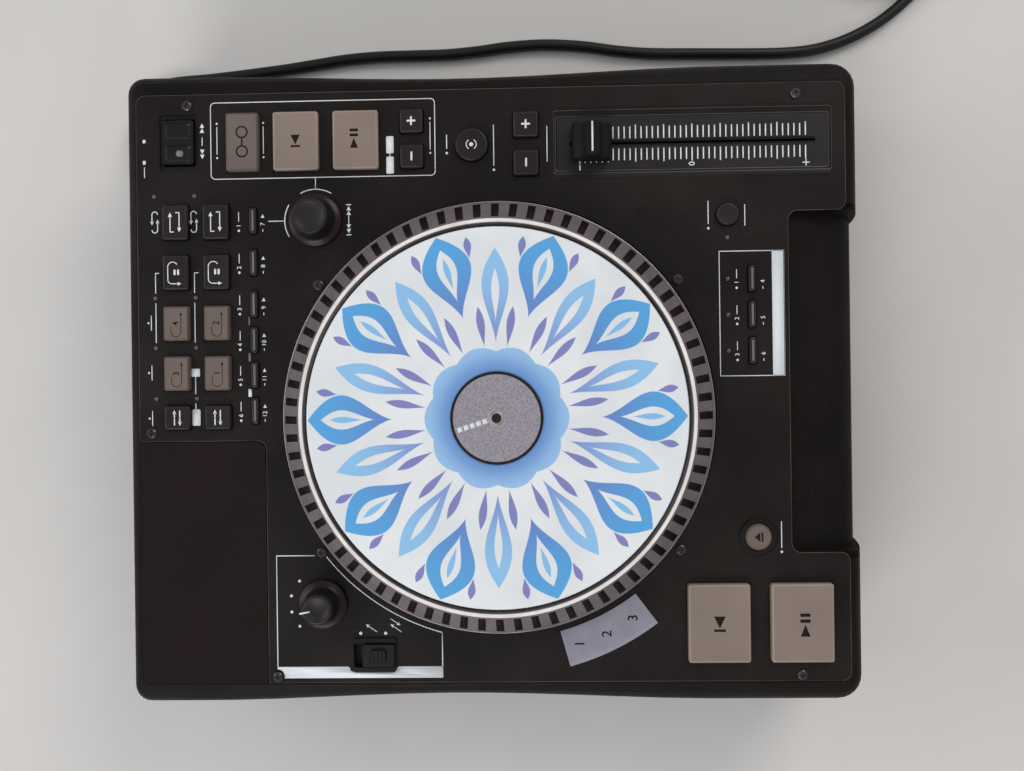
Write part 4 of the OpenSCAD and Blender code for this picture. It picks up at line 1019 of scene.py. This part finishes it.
def loop_end(pen, x, y):
    pen.arc(x + 2.6, y + 1.2, 2.4, -60, 90, 0.45, 14)
    pen.arc(x - 3.4, y + 1.6, 2.0, 90, 180, 0.45, 10)
    pen.lines(0.45, (x + 2.6, y + 3.6, x - 3.4, y + 3.6), (x - 5.4, y + 1.6, x - 5.4, y - 1.2))
    pen.head(x - 5.4, y - 3.0, 270, 1.9, 1.7)
    for low in (-1.9, -0.2):
        pen.bar(x - 1.2, x + 1.4, y + low, y + low + 1)


def loop_exit(pen, x, y):
    for side, angle in ((1, 0), (-1, 180)):
        corners = ((-4.6, 0.4), (-4.6, 2.2), (2.6, 2.2))
        pen.path([(x + side * a, y + side * b) for a, b in corners], 0.5)
        pen.head(x + side * 4.8, y + side * 2.2, angle, 2.2, 2.0)


def two_way(pen, x, y):
    for side in (1, -1):
        pen.arrow(x - side * 0.2, y + side * 1.3, x + side * 3.8, y + side * 1.3, 0.6, 2.0)
    pen.lines(0.6, (x - 3.6, y + 1.3, x, y + 1.3), (x, y - 1.3, x + 3.6, y - 1.3))


LOOP_SIGNS = {}
for row, high, low in (("a", "4", "3"), ("b", "2", "1")):
    LOOP_SIGNS.update({"hot_key_high_" + row: loop_number(high), "hot_key_low_" + row: loop_number(low),
        "loop_end_key_" + row: loop_end, "exit_key_" + row: loop_exit, "flip_key_" + row: two_way})
print("signs of loop keys:", len(LOOP_SIGNS))

# %% [markdown]
# A key goes down when it is pressed, and its sign has to go down with it. On the panel's mesh the sign
# would hang in the air. So every sign becomes a piece that rides on its key's own body. Pale keys carry
# dark ink and dark keys carry white.

# %% Signs that ride on their keys
SIGN_GAP = 0.005
signs = LARGE_SIGNS | LOOP_SIGNS | SMALL_SIGNS
for node, draw in signs.items():
    x, y, z = place[node]
    pen = Pen()
    draw(pen, x, y)
    pen.make(node + "_sign", z + SIGN_GAP, dark_ink if node in PALE else white_ink, BODY_OF[node])
print("signs on keys:", len(signs))

# %% [markdown]
# The panel's print ties the controls together. A frame runs round the second track's keys, arcs stand
# round the parameter knob, and brackets join the loop keys. It could be an image laid on the panel, but
# drawn lines stay sharp from near. One pen gathers all the white print of the panel, cell by cell.

# %% Frames, brackets and arrows on the panel
LINE = 0.42
pen = Pen()
pen.path([(x + 118.9, y + 76.75) for x, y in rounded(36.6, 107.9, 2.0, 4)], LINE, closed=True)
pen.lines(LINE, (100.5, 80.4, 95.2, 80.4), (80, 103.4, 80, 95.6))
for start, end in ((-31, 29), (59, 121)):
    pen.arc(80, 80.5, 14.9, start, end, 0.5)
for x in (101.7, 111.4):
    pen.bar(x, x + 8.2, 42.6, 46.2, 0.6)
pen.bar(109.9, 111.4, 44.2, 44.6)

# the brackets of the two rows of loop keys, and the two arrows that say flip
for y, hook in ((158.4, 156.6), (139.5, 137.5)):
    pen.path([(55.9, hook), (55.9, y), (46.2, y)], LINE)
    pen.lines(LINE, (41.5, y, 22.4, y))
    for side in (1, -1):
        pen.arc(80.4 + side * 3.7, y, 1.35, -90 * side, -90 * side + 180, 0.45, 12)
        pen.lines(0.45, (80.4 + side * 3.7, y + side * 1.35, 80.4, y + side * 1.35))
        pen.head(80.4 - side * 1.4, y + side * 1.35, 90 + 90 * side, 1.9, 1.7)
pen.bar(5.9, 9.8, 137.4, 141.6, 0.6)
pen.bar(-17.6, -9.8, 137.4, 141.4, 0.6)
pen.lines(LINE, (5.9, 139.6, -2.4, 139.6), (-6.8, 139.6, -9.8, 139.6))

# double arrows for search and track, and the marks by the rocker
for x, y, angle, size in ((127.6, 134.9, 0, 2.2), (125.2, 134.9, 0, 2.2), (110.4, 134.9, 180, 2.2),
        (112.8, 134.9, 180, 2.2), (86.6, 64.6, 0, 2.1), (84.4, 64.6, 0, 2.1), (73.6, 64.6, 180, 2.1),
        (75.8, 64.6, 180, 2.1)):
    pen.head(x, y, angle, size, 2.2)
pen.lines(LINE, (120.8, 134.9, 116.8, 134.9), (78.0, 64.6, 82.2, 64.6))
for x in (72.6, 87.0):
    pen.bar(x, x + 0.5, 63.4, 65.8)
pen.lines(0.4, (107.0, 163.1, 101.8, 163.1))
pen.bar(108.3, 110.1, 162.4, 163.8)
pen.bar(118.6, 120.2, 162.4, 163.8)
print("marks so far:", len(pen.faces))

# %% [markdown]
# Each thin key has two functions, one printed over it and one under it. Words would stand there on a
# product, and here a number, a dot and a short bar take their room. They follow the keys' own places, so
# that a key that moves takes its label along.

# %% Labels of the thin keys
OVER, UNDER = 117.7, 106.1
for i, node in enumerate(FUNCTION, 1):
    x = place[node][0]
    pen.dot(x - 4.6, OVER, 0.62)
    pen.digits(str(i), x - 2.2, OVER, 2.1)
    pen.bar(x - 0.2, x + 4.4, OVER - 0.2, OVER + 0.2)
    pen.bar(x - 5.2, x - 4.0, UNDER - 0.2, UNDER + 0.2)
    pen.digits(str(i + len(FUNCTION)), x - 1.6, UNDER, 2.1)
    pen.head(x + 3.2, UNDER, 0, 1.8, 1.8)
pen.bar(-4.1, -0.3, 112.4, 114.0)

# a bar under a dot over the loop keys, and a line between two dots beside the keys at the right
for x in (32.0, 8.0, -13.9):
    pen.bar(x - 3.6, x + 3.6, 160.5, 160.9)
    pen.dot(x, 162.1, 0.5)
for x, y in ((119.0, 127.7), (119.0, 105.3), (119.5, 25.1)):
    pen.dot(x - 8.2, y, 0.5)
    pen.lines(0.4, (x - 6.6, y, x + 6.6, y))
    pen.dot(x + 8.2, y, 0.5)
pen.dot(111.0, 17.2, 0.6)
pen.lines(0.5, (113.0, 17.2, 119.8, 17.2))
pen.dot(102.6, -5.2, 0.6)
pen.lines(0.45, (104.5, -5.2, 124.0, -5.2), (106.0, -30.6, 123.0, -30.6))

links = Pen()
links.bar(12.9, 17.0, 112.7, 113.7)
links.bar(30.4, 34.4, 112.9, 113.5)
links.make("key_links", PANEL, mark_grey, "deck")
print("marks with the labels:", len(pen.faces))

# %% [markdown]
# The scratch controls share a box with a white foot. The foot has a bay where the slide switch stands and
# a boss where a screw sits. Black pieces laid over a white bar would give the same picture, but they
# would catch the light as pieces. So the foot is one outline, and one side of its bay mirrors the other.

# %% Scratch controls and the platter modes
FOOT_EDGE, BAY_SUM = -133.75, 110.95          # the foot's inner edge, and twice the middle of its bay
pen.path([(-80.5, 82.9), (-80.5, 101.5), (-133.9, 101.5)], 0.45)
pen.arc(PLATTER_X, PLATTER_Y, 106.4, 128.3, 164.6, 0.5, 40)
pen.lines(0.45, (-117.4, 22.3, -133.9, 22.3))
bay = [(-136.15, 65.6), (-135.7, 66.4), (-134.9, 66.7), (-134.2, 66.9), (FOOT_EDGE, 67.6)]
boss = [(-138.2 + 3.3 * math.cos(math.radians(a)), 101.6 + 3.3 * math.sin(math.radians(a)))
    for a in range(0, -109, -12)]
pen.fill([(-139.2, 22.4), (-138.9, 22.1), (FOOT_EDGE, 22.1)] + [(x, BAY_SUM - y) for x, y in reversed(bay)]
    + bay + [(FOOT_EDGE, 101.7)] + boss)

# the selector's four dots, and the slide switch's two with the arrows beside them
for x, y, radius in ((-92.6, 90.5, 0.7), (-99.7, 94.5, 0.7), (-107.4, 94.4, 0.7), (-114.2, 90.6, 0.7),
        (-117.8, 61.4, 0.8), (-117.8, 49.4, 0.8)):
    pen.dot(x, y, radius)
for ends in ((-117.2, 53.5, -113.5, 58.9), (-110.9, 47.0, -114.1, 42.2), (-117.3, 41.7, -113.5, 47.1)):
    pen.arrow(*ends, 0.35, 1.8)

# the box of the platter's modes with a label over and under each key
OVER, UNDER = -119.4, -131.7
pen.path([(3.0, -111.3), (62.0, -111.3), (62.0, -141.6), (3.0, -141.6)], 0.4, closed=True)
pen.bar(3.0, 62.0, -141.7, -136.0)
for i, node in enumerate(MODE, 1):
    x = place[node][0]
    pen.dot(x - 4.4, OVER, 0.6)
    pen.digits(str(i), x - 1.8, OVER, 2.0)
    pen.bar(x + 0.2, x + 4.4, OVER - 0.2, OVER + 0.2)
    pen.bar(x - 5.0, x - 3.8, UNDER - 0.2, UNDER + 0.2)
    pen.digits(str(i + len(MODE)), x - 1.4, UNDER, 2.0)
pen.dot(73.0, -106.4, 0.6)
pen.dot(-80.4, -139.0, 0.6)
pen.lines(0.45, (75.0, -106.4, 86.0, -106.4), (74.0, -123.6, 84.0, -123.6), (-78.6, -139.0, -66.0, -139.0))

panel_print = pen.make("panel_print", PANEL, white_ink, "deck")
print("faces in the panel's print:", len(panel_print.data.polygons))

# %% [markdown]
# The fader's plate lies a millimetre below the panel, and its scale is printed on the plate. Two rows of
# ticks leave the slot free between them, every fifth tick is longer, and a nought marks the middle. An
# array modifier repeats a tick as easily as a loop does, but it can't lengthen every fifth one.

# %% Scale of the pitch fader
TICKS, TICK_STEP, FIRST_TICK = 35, 2.67, -62.0
pen = Pen()
for i in range(TICKS):
    y = FIRST_TICK - TICK_STEP * i
    is_long = i % 5 == 4
    pen.bar(116.5, 122.9 if is_long else 122.2, y - 0.3, y + 0.3)
    pen.bar(105.4 if is_long else 106.2, 111.8, y - 0.3, y + 0.3)
for i in range(5):
    pen.dot(105.6, -48.6 - 2.75 * i, 0.3)
pen.dot(105.6, -46.2, 0.45)

# minus at one end, a nought in the middle and plus at the other end
pen.bar(101.5, 104.7, -46.55, -45.85)
pen.digits("0", 104.0, -99.3, 2.9)
pen.bar(101.9, 105.3, -153.2, -152.7)
for y in (-154.6, -152.7):
    pen.bar(103.35, 103.85, y, y + 1.4)
fader_scale = pen.make("fader_scale", corners_mm("fader_track")[1][2], white_ink, "deck")
print("faces in the fader's scale:", len(fader_scale.data.polygons))

# %% [markdown]
# A paler line runs round the panel as a painted highlight, where light would catch its cut edge. The line
# follows the panel's own outline, which is where an edge of its flat top has no second face on the top.
# Drawing it by eye would drift from the corners.

# %% Painted highlight along the panel's edge
def outlines(node, height):
    """Closed outlines of a packed node's flat top, with the face on their left."""
    piece = frame["nodes"][node]
    spots = [tuple(round(c / MM, 3) for c in piece.matrix_world @ v.co) for v in piece.data.vertices]
    edges = set()
    for face in piece.data.polygons:
        ring = [spots[i] for i in face.vertices]
        if all(abs(z - height) < 0.01 for _, _, z in ring):
            edges |= set(zip(ring, ring[1:] + ring[:1]))
    ahead = dict(sorted((a, b) for a, b in edges if (b, a) not in edges))
    loops = []
    while ahead:
        loop = [next(iter(ahead))]
        while loop[-1] in ahead:
            loop.append(ahead.pop(loop[-1]))
        loops.append([(x, y) for x, y, _ in loop[:-1]])
    return loops


panel_outline = min(outlines("top_panel", PANEL), key=min)
pen = Pen()
# a pale line just inside the panel's outline: painted highlight of its edge
pen.path(panel_outline, 0.3, closed=True, aside=0.2)
pen.make("painted_edge_highlight", PANEL, panel_edge_highlight, "deck")
print("points round the panel:", len(panel_outline))

# %% [markdown]
# The wall under the ledge is a fascia with the slot that takes the disc. It stands almost level with the
# front of the case, and a fine line parts the two. A box with a hole cut in it would do for the flat
# part, but not for the brow over it. Here one hoop of rings runs over the brow, down the front, into the
# slot and back along the wall.

# %% Fascia of the disc slot
FRONT, WALL = -178.1, -174.0
SLOT_REACH = 64.2
# each ring is an oblong: half its width, y and z along the foot, then along the top
fascia_levels = [(77.0, WALL, 6.3, 79.5, -164.0, 75.6), (77.05, WALL - 0.2, 6.2, 79.65, -164.0, 75.93),
    (77.05, FRONT + 0.4, 6.1, 79.4, -170.2, 74.86), (76.9, FRONT + 0.1, 6.4, 78.55, -175.3, 71.0),
    (76.6, FRONT, 6.8, 76.8, FRONT, 63.6), (SLOT_REACH, FRONT, 33.8, SLOT_REACH, FRONT, 39.2),
    (SLOT_REACH, WALL, 33.8, SLOT_REACH, WALL, 39.2), (76.8, WALL + 0.02, 6.9, 76.8, WALL + 0.02, 63.9),
    (76.9, WALL + 0.04, 6.8, 78.4, -171.2, 71.2), (76.95, WALL + 0.02, 6.5, 79.3, -166.1, 75.2)]
fascia_rings = [[(-a, y, z), (a, y, z), (b, top_y, top_z), (-b, top_y, top_z)]
    for a, y, z, b, top_y, top_z in fascia_levels]
make_piece("slot_fascia", *hoop(fascia_rings), [chassis_paint], "deck", slot="trim_plastic")
print("fascia:", round(2 * fascia_levels[0][0]), "mm wide, slot", round(2 * SLOT_REACH, 1), "mm")

# %% [markdown]
# Small lamps show which loop is stored and which mode the platter is in. Each is a clear dome over its
# post. Spheres cut in half would do, but a dome of rings is flatter at its top, as a moulded lens is, and
# all of them make one mesh.

# %% Lamp lenses
lamp_places = [(x, y) for x in (92.7, 43.9, 19.9, -4.5) for y in (158.5, 138.9)]
lamp_places += [(49.0, -115.2), (31.95, -115.2), (14.9, -115.2), (68.5, -115.3)]
dome = [(1.0, 0.02), (1.0, 0.3), (0.92, 0.46), (0.7, 0.6), (0.36, 0.68)]
domes = [skin([[(x + a, y + b, PANEL + z) for a, b in circle(r, 20)] for r, z in dome])
    for x, y in lamp_places]
make_piece("lamp_lenses", *gather(*domes), [lamp_lens], "deck", slot="window")
print("lamps:", len(domes))

# %% [markdown]
# The panel steps down to the fader's plate over a surround, whose two edges carry a painted highlight. A
# bevel on the hole would give one slope, while this needs a wide rim, a wall and a lower lip. So its section
# is written as rings that go round the hole, and two of its slopes take the paler finish that paints the
# highlight.

# %% Surround of the fader
plate = corners_mm("fader_track")[1][2]
# each ring is a rounded oblong: from x to x, from y to y, and its height
surround_levels = [(97.5, 131.3, -165.0, -33.6, plate), (97.5, 131.3, -165.0, -33.6, PANEL - 0.05),
    (100.0, 130.2, -164.8, -33.7, PANEL - 0.05), (100.3, 129.9, -164.6, -33.9, PANEL - 0.2),
    (100.3, 129.9, -164.6, -33.9, plate + 0.45), (101.3, 127.5, -163.5, -34.5, plate + 0.45),
    (101.6, 127.2, -163.2, -34.8, plate + 0.3), (101.6, 127.2, -163.2, -34.8, plate)]
surround_rings = [[((x0 + x1) / 2 + a, (y0 + y1) / 2 + b, z) for a, b in rounded(x1 - x0, y1 - y0, 1.2)]
    for x0, x1, y0, y1, z in surround_levels]
points, faces = hoop(surround_rings)
# two slopes take the paler finish, a painted highlight on the surround's edges
tags = [1 if i // len(surround_rings[0]) in (2, 5) else 0 for i in range(len(faces))]
make_piece("fader_surround", points, faces, [panel_paint, panel_edge_highlight], "deck", tags=tags, slot="trim_plastic")
print("surround stands", round(PANEL - plate, 2), "mm over the plate")

# %% [markdown]
# The fader cap is a wide foot with a narrow grip across it, hollowed where a finger pushes from either
# side. The packed solid has straight flanks. Rings that shrink quickly at first and slowly later give the
# hollow, and narrower rings between them cut grooves into the grip. Its white line shows the pitch on the
# scale.

# %% Fader cap
x, y = middle_mm("fader_cap")
bottom, foot = corners_mm("fader_cap")[0][2], PANEL + 0.6
cap_levels = [(17.2, 18.5, 0), (17.3, 18.6, 0.4), (17.3, 18.6, 2.6), (17.1, 18.0, 3.4), (16.9, 16.6, 4.4),
    (16.7, 14.2, 5.2), (16.5, 11.8, 5.8), (16.3, 9.6, 6.5), (16.2, 8.3, 7.4), (16.1, 7.6, 8.3)]
for z in (8.6, 9.5, 10.4):
    cap_levels += [(15.9, 7.2, z), (15.4, 6.6, z + 0.1), (15.4, 6.6, z + 0.35), (15.8, 7.1, z + 0.45)]
cap_levels += [(15.9, 6.8, 11.3), (15.6, 6.3, 11.7), (15.0, 5.4, 11.92)]
grip = block(x, y, [(a, b, foot + z) for a, b, z in cap_levels], 1.3)
stem = block(x, y, [(0.9, 8, bottom + 4), (0.9, 8, foot + 1)], 0.4)
wiper = block(x, y, [(7, 10, bottom), (7, 10, bottom + 5)], 0.4)
make_piece("fader_grip", *gather(grip, stem, wiper), [grip_black], "pitch_fader", slot="trim_plastic",
    replaced=["fader_cap"], smooth=30)
mark = Pen()
mark.bar(x - 6.5, x + 7.35, y - 0.42, y + 0.42)
mark.make("fader_line", foot + 11.93, white_ink, "pitch_fader")
print("rings in the fader cap:", len(cap_levels))

# %% [markdown]
# A slot this long would show the board below. Two soft lips close it and part round the cap's stem, as
# the felt or rubber lips of a fader do. They are thin strips under the plate's edges, so nothing has to
# bend.

# %% Lips in the fader's slot
LIP_W, LIP_LENGTH, LIP_ASIDE = 0.84, 118, 0.98
lip_y = middle_mm("fader_track")[1]
lips = [block(x + side, lip_y, [(LIP_W, LIP_LENGTH, PANEL - 1.7), (LIP_W, LIP_LENGTH, PANEL - 1.3)], 0.2)
    for side in (-LIP_ASIDE, LIP_ASIDE)]
make_piece("slot_lips", *gather(*lips), [soft_rubber], "deck", slot="trim_plastic")
print("gap between the lips:", round(2 * LIP_ASIDE - LIP_W, 2), "mm")

# %% [markdown]
# A knob is a lathe profile. The skirt is smooth and wider than the grip, the grip is fluted and the crown
# is dished for a fingertip. The selector also has a nose that points at its four dots, with a white line
# on it. A fluted ring is a circle whose radius swings a little, so the same skinning serves.

# %% Knobs
KNOB_GAP, KNOB_H, FLUTES = 0.7, 13.95, 45


def knob(node, name, body, top_r, nose=0.0, nose_at=0.0):
    """A knob in its solid's place. It returns its middle and the height of its rim."""
    low, high = corners_mm(node)
    x, y = middle_mm(node)
    r, foot, h = (high[0] - low[0]) / 2, PANEL + KNOB_GAP, KNOB_H
    # radius, height, depth of the flutes and share of the nose
    profile = [(3.0, low[2] - foot, 0, 0), (3.0, 0, 0, 0), (r - 0.2, 0, 0, 0), (r, 0.3, 0, 0), (r, 1.1, 0, 0),
        (r - 0.35, 1.6, 0, 0), (r - 1.3, 2.1, 0, 0), (top_r + 1.2, 2.5, 0, 0), (top_r + 0.9, 3.0, 0, 1),
        (top_r + 0.75, 3.3, 0.28, 1), (top_r + 0.3, 8.0, 0.3, 1), (top_r, h - 2.2, 0.28, 1),
        (top_r - 0.05, h - 1.5, 0, 1), (top_r - 0.4, h - 0.7, 0, 1), (top_r - 1.0, h - 0.15, 0, 0.8),
        (top_r - 1.7, h, 0, 0.6), (top_r - 2.3, h - 0.25, 0, 0), (top_r - 3.4, h - 0.85, 0, 0),
        (top_r * 0.3, h - 1.35, 0, 0), (0.8, h - 1.45, 0, 0)]
    rings = []
    for radius, z, flute, nosed in profile:
        ring = []
        for turned in range(0, 360, 2):
            away = (turned - nose_at + 180) % 360 - 180
            a = math.radians(turned)
            reach = radius - flute * (0.5 + 0.5 * math.cos(FLUTES * a))
            reach += nosed * nose * math.exp(-(away / 11) ** 2)
            ring.append((x + reach * math.cos(a), y + reach * math.sin(a), foot + z))
        rings.append(ring)
    points, faces = skin(rings)
    level = [k // len(rings[0]) for k in range(len(faces) - 2)]
    # the skirt, the grip and the crown have a finish each
    tags = [1 if k < 7 else 0 if k < 14 else 2 for k in level] + [0, 2]
    make_piece(name, points, faces, [knob_grip, knob_skirt, knob_crown], body, tags=tags, slot="knob_plastic",
        replaced=[node], smooth=50)
    return x, y, foot + h


knob("parameter_knob", "parameter_grip", "parameter_dial", 9.0)
x, y, top = knob("selector_knob", "selector_grip", "selector_dial", 7.5, nose=1.5, nose_at=102)
mark = Pen()
c, s = math.cos(math.radians(101)), math.sin(math.radians(101))
mark.path([(x + 3.4 * c, y + 3.4 * s), (x + 8.3 * c, y + 8.3 * s)], 0.75)
mark.make("selector_line", top - 0.02, white_ink, "selector_dial")
print("knobs stand", round(top - PANEL, 1), "mm over the panel")

# %% [markdown]
# The slide switch leaves part of its hole open. A plate fixed in the hole would be cut by the switch as
# it moves, so a thin shutter under the panel moves with the switch and hides the board below. Three ribs
# on its pad tell a finger where to press, and a pale mark lies on the rocker.

# %% Slide switch and rocker
pad_top = corners_mm("scratch_switch")[1][2]
x, y = middle_mm("scratch_switch")
shutter = block(x, y, [(14.4, 26, PANEL - 4.1), (14.4, 26, PANEL - 3.6)], 1.0)
rib_levels = [(4.6, 0.5, pad_top - 0.9), (4.6, 0.5, pad_top - 0.1), (4.3, 0.3, pad_top)]
ribs = [block(x, y + 1.9 * i, rib_levels, 0.2) for i in (-1, 0, 1)]
make_piece("switch_shutter", *gather(shutter, *ribs), [trim_black], "scratch_slider", slot="trim_plastic")
mark = Pen()
mark.bar(111.3, 114.3, 143.5, 146.9, 1.0)
mark.make("rocker_mark", corners_mm("search_rocker")[1][2] - 0.02, mark_grey, "search_lever")
print("ribs on the slide switch:", len(ribs))

# %% [markdown]
# Each phono jack has a ring of coloured plastic round its hole, white for left and red for right. A ring
# of paint would do from afar, but the real one stands a hair over the plated face, so each is a short
# tube.

# %% Rings on the jacks
JACK_Z = 32
face = corners_mm("audio_jacks")[1][1]
jack_ring = [(3.1, face - 3), (3.1, face + 0.02), (2.95, face + 0.05), (1.8, face + 0.05), (1.65, face),
    (1.65, face - 3)]
for name, places, finish in (("left_rings", (-104, -60), socket_white),
        ("right_rings", (-86, -42), socket_red)):
    rings = [rearwards(x, JACK_Z, jack_ring, hoop) for x in places]
    make_piece(name, *gather(*rings), [finish], "deck", slot="trim_plastic")
    print(name + ":", len(rings))

# %% [markdown]
# The platter is a turned casting. Its polished top edge carries a near-white ring, a painted highlight in
# place of its reflection, and a paler line along its rim is a painted highlight too. The slope below carries
# 72 dark marks that a strobe would make stand still. Painting them in a shader would blur where the slope is
# seen at an angle, so each mark is a small plate laid on the slope.

# %% Rings and strobe marks on the platter
SLOPE = (92.2, 102.1), (100.7, 92.0)          # radius and height where the slope starts and where it ends


def on_slope(radius):
    """Height of the platter's slope, which falls from its ring to its rim."""
    (r0, z0), (r1, z1) = SLOPE
    return z0 + (radius - r0) * (z1 - z0) / (r1 - r0)


def round_platter(radius, degrees, z):
    a = math.radians(degrees)
    return (PLATTER_X + radius * math.cos(a), PLATTER_Y + radius * math.sin(a), z)


MARKS, MARK_IN, MARK_OUT, HALF_MARK, MARK_LIFT = 72, 92.4, 99.8, 1.05, 0.03
points, faces = [], []
for i in range(MARKS):
    first = len(points)
    points += [round_platter(radius, 360 / MARKS * i + HALF_MARK * k, on_slope(radius) + MARK_LIFT)
        for radius in (MARK_IN, MARK_OUT) for k in (-1, 0, 1)]
    faces += [(first + 3, first + 4, first + 1, first), (first + 4, first + 5, first + 2, first + 1)]
strobe = make_piece("strobe_marks", points, faces, [strobe_paint], "turntable", slot="platter_alloy")
coat = strobe.modifiers.new("paint", "SOLIDIFY")
coat.thickness, coat.offset = 0.03 * MM, 1.0
print("strobe marks:", MARKS, "of", round(MARK_OUT - MARK_IN, 1), "mm")


def band(name, profile, finish):
    """A thin ring about the platter's axis that follows a profile of radius and height."""
    points, faces = skin([[round_platter(r, degrees, z) for degrees in range(0, 360, 2)] for r, z in profile])
    make_piece(name, points, faces[:-2], [finish], "turntable")


# two thin bands that paint highlights: the polished top edge and the rim
band("polished_edge_highlight", [(91.42, 102.92), (91.3, 103.02), (89.85, 103.02), (89.8, 103.0)], polished_ring_highlight)
band("rim_highlight_line", [(101.22, 91.4), (101.14, 91.85), (100.8, 92.03)], rim_highlight_alloy)

# %% [markdown]
# A row of five white squares on the label shows how the disc is turned, so it rides with the disc. The
# numbers of the three sources are printed on the light guide beside the platter, and they stay with the
# deck. A texture could hold both, but as pieces they can't smear when the materials are baked.

# %% Squares on the label and numbers on the light guide
along, SQUARE = Vector((-0.308, 0.951)), 2.3
across = Vector((-along.y, along.x))
mark = Pen()
for k in range(5):
    middle = Vector((-16.4, -0.6)) + along * 3.0 * k
    mark.fill([middle + (along * a + across * b) * SQUARE / 2
        for a, b in ((1, 1), (-1, 1), (-1, -1), (1, -1))])
mark.make("label_squares", corners_mm("disc_label")[1][2] - 0.01, white_ink, "disc")
mark = Pen()
for text, x, y in (("1", -123.3, -43.3), ("2", -118.6, -56.2), ("3", -111.1, -68.6)):
    mark.digits(text, x, y, 4.6)
numbers = mark.make("source_numbers", corners_mm("source_indicator")[1][2], dark_ink, "deck")
print("faces in the sources' numbers:", len(numbers.data.polygons))

# %% [markdown]
# The room is a pale floor and soft light from large lamps. Lamps near the upright would mirror in the
# flat panel and grey it, so they stand low at the sides, where they only draw bright lines along the
# edges.

# %% Floor, lamps and world
f = Finish("floor_paper")
paper = f.mix(f.rise(f.noise(90, 2), 0.3, 0.7), linear(205, 202, 199), linear(208, 205, 202))
floor = bpy.data.meshes.new("floor")
floor.from_pydata([(-4, -4, 0), (4, -4, 0), (4, 4, 0), (-4, 4, 0)], [], [(0, 1, 2, 3)])
floor.materials.append(f.shade(Base_Color=paper, Roughness=0.9, Specular_IOR_Level=0.1))
ground = bpy.data.objects.new("floor", floor)
bpy.context.scene.collection.objects.link(ground)
ground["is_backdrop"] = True


def softbox(name, position, size, watts, colour=(1.0, 1.0, 1.0)):
    light = bpy.data.lights.new(name, "AREA")
    light.shape, light.size, light.size_y, light.energy = "RECTANGLE", size[0], size[1], watts
    light.color = colour
    lamp = bpy.data.objects.new(name, light)
    lamp.location = position
    lamp.rotation_euler = Vector(position).to_track_quat("Z", "Y").to_euler()
    bpy.context.scene.collection.objects.link(lamp)


softbox("soft_left", (-1.5, 0.5, 1.25), (1.2, 0.9), 18)
softbox("soft_right", (1.35, -0.9, 1.3), (1.0, 0.9), 15, (1.0, 0.97, 0.93))
softbox("soft_rear", (0.3, 1.7, 1.0), (1.4, 0.6), 11, (0.94, 0.97, 1.0))
world = bpy.data.worlds.new("room")
world.use_nodes = True
backdrop = world.node_tree.nodes["Background"].inputs
backdrop["Color"].default_value = (0.62, 0.63, 0.65, 1)
backdrop["Strength"].default_value = 0.66
bpy.context.scene.world = world
bpy.context.scene.view_settings.view_transform = "Standard"

# %% [markdown] The box round the dressed player is measured at the end and printed.

# %% Size of the dressed player, and the end
low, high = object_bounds()
print("visual box in mm:", [round(c / MM, 1) for c in low], [round(c / MM, 1) for c in high])
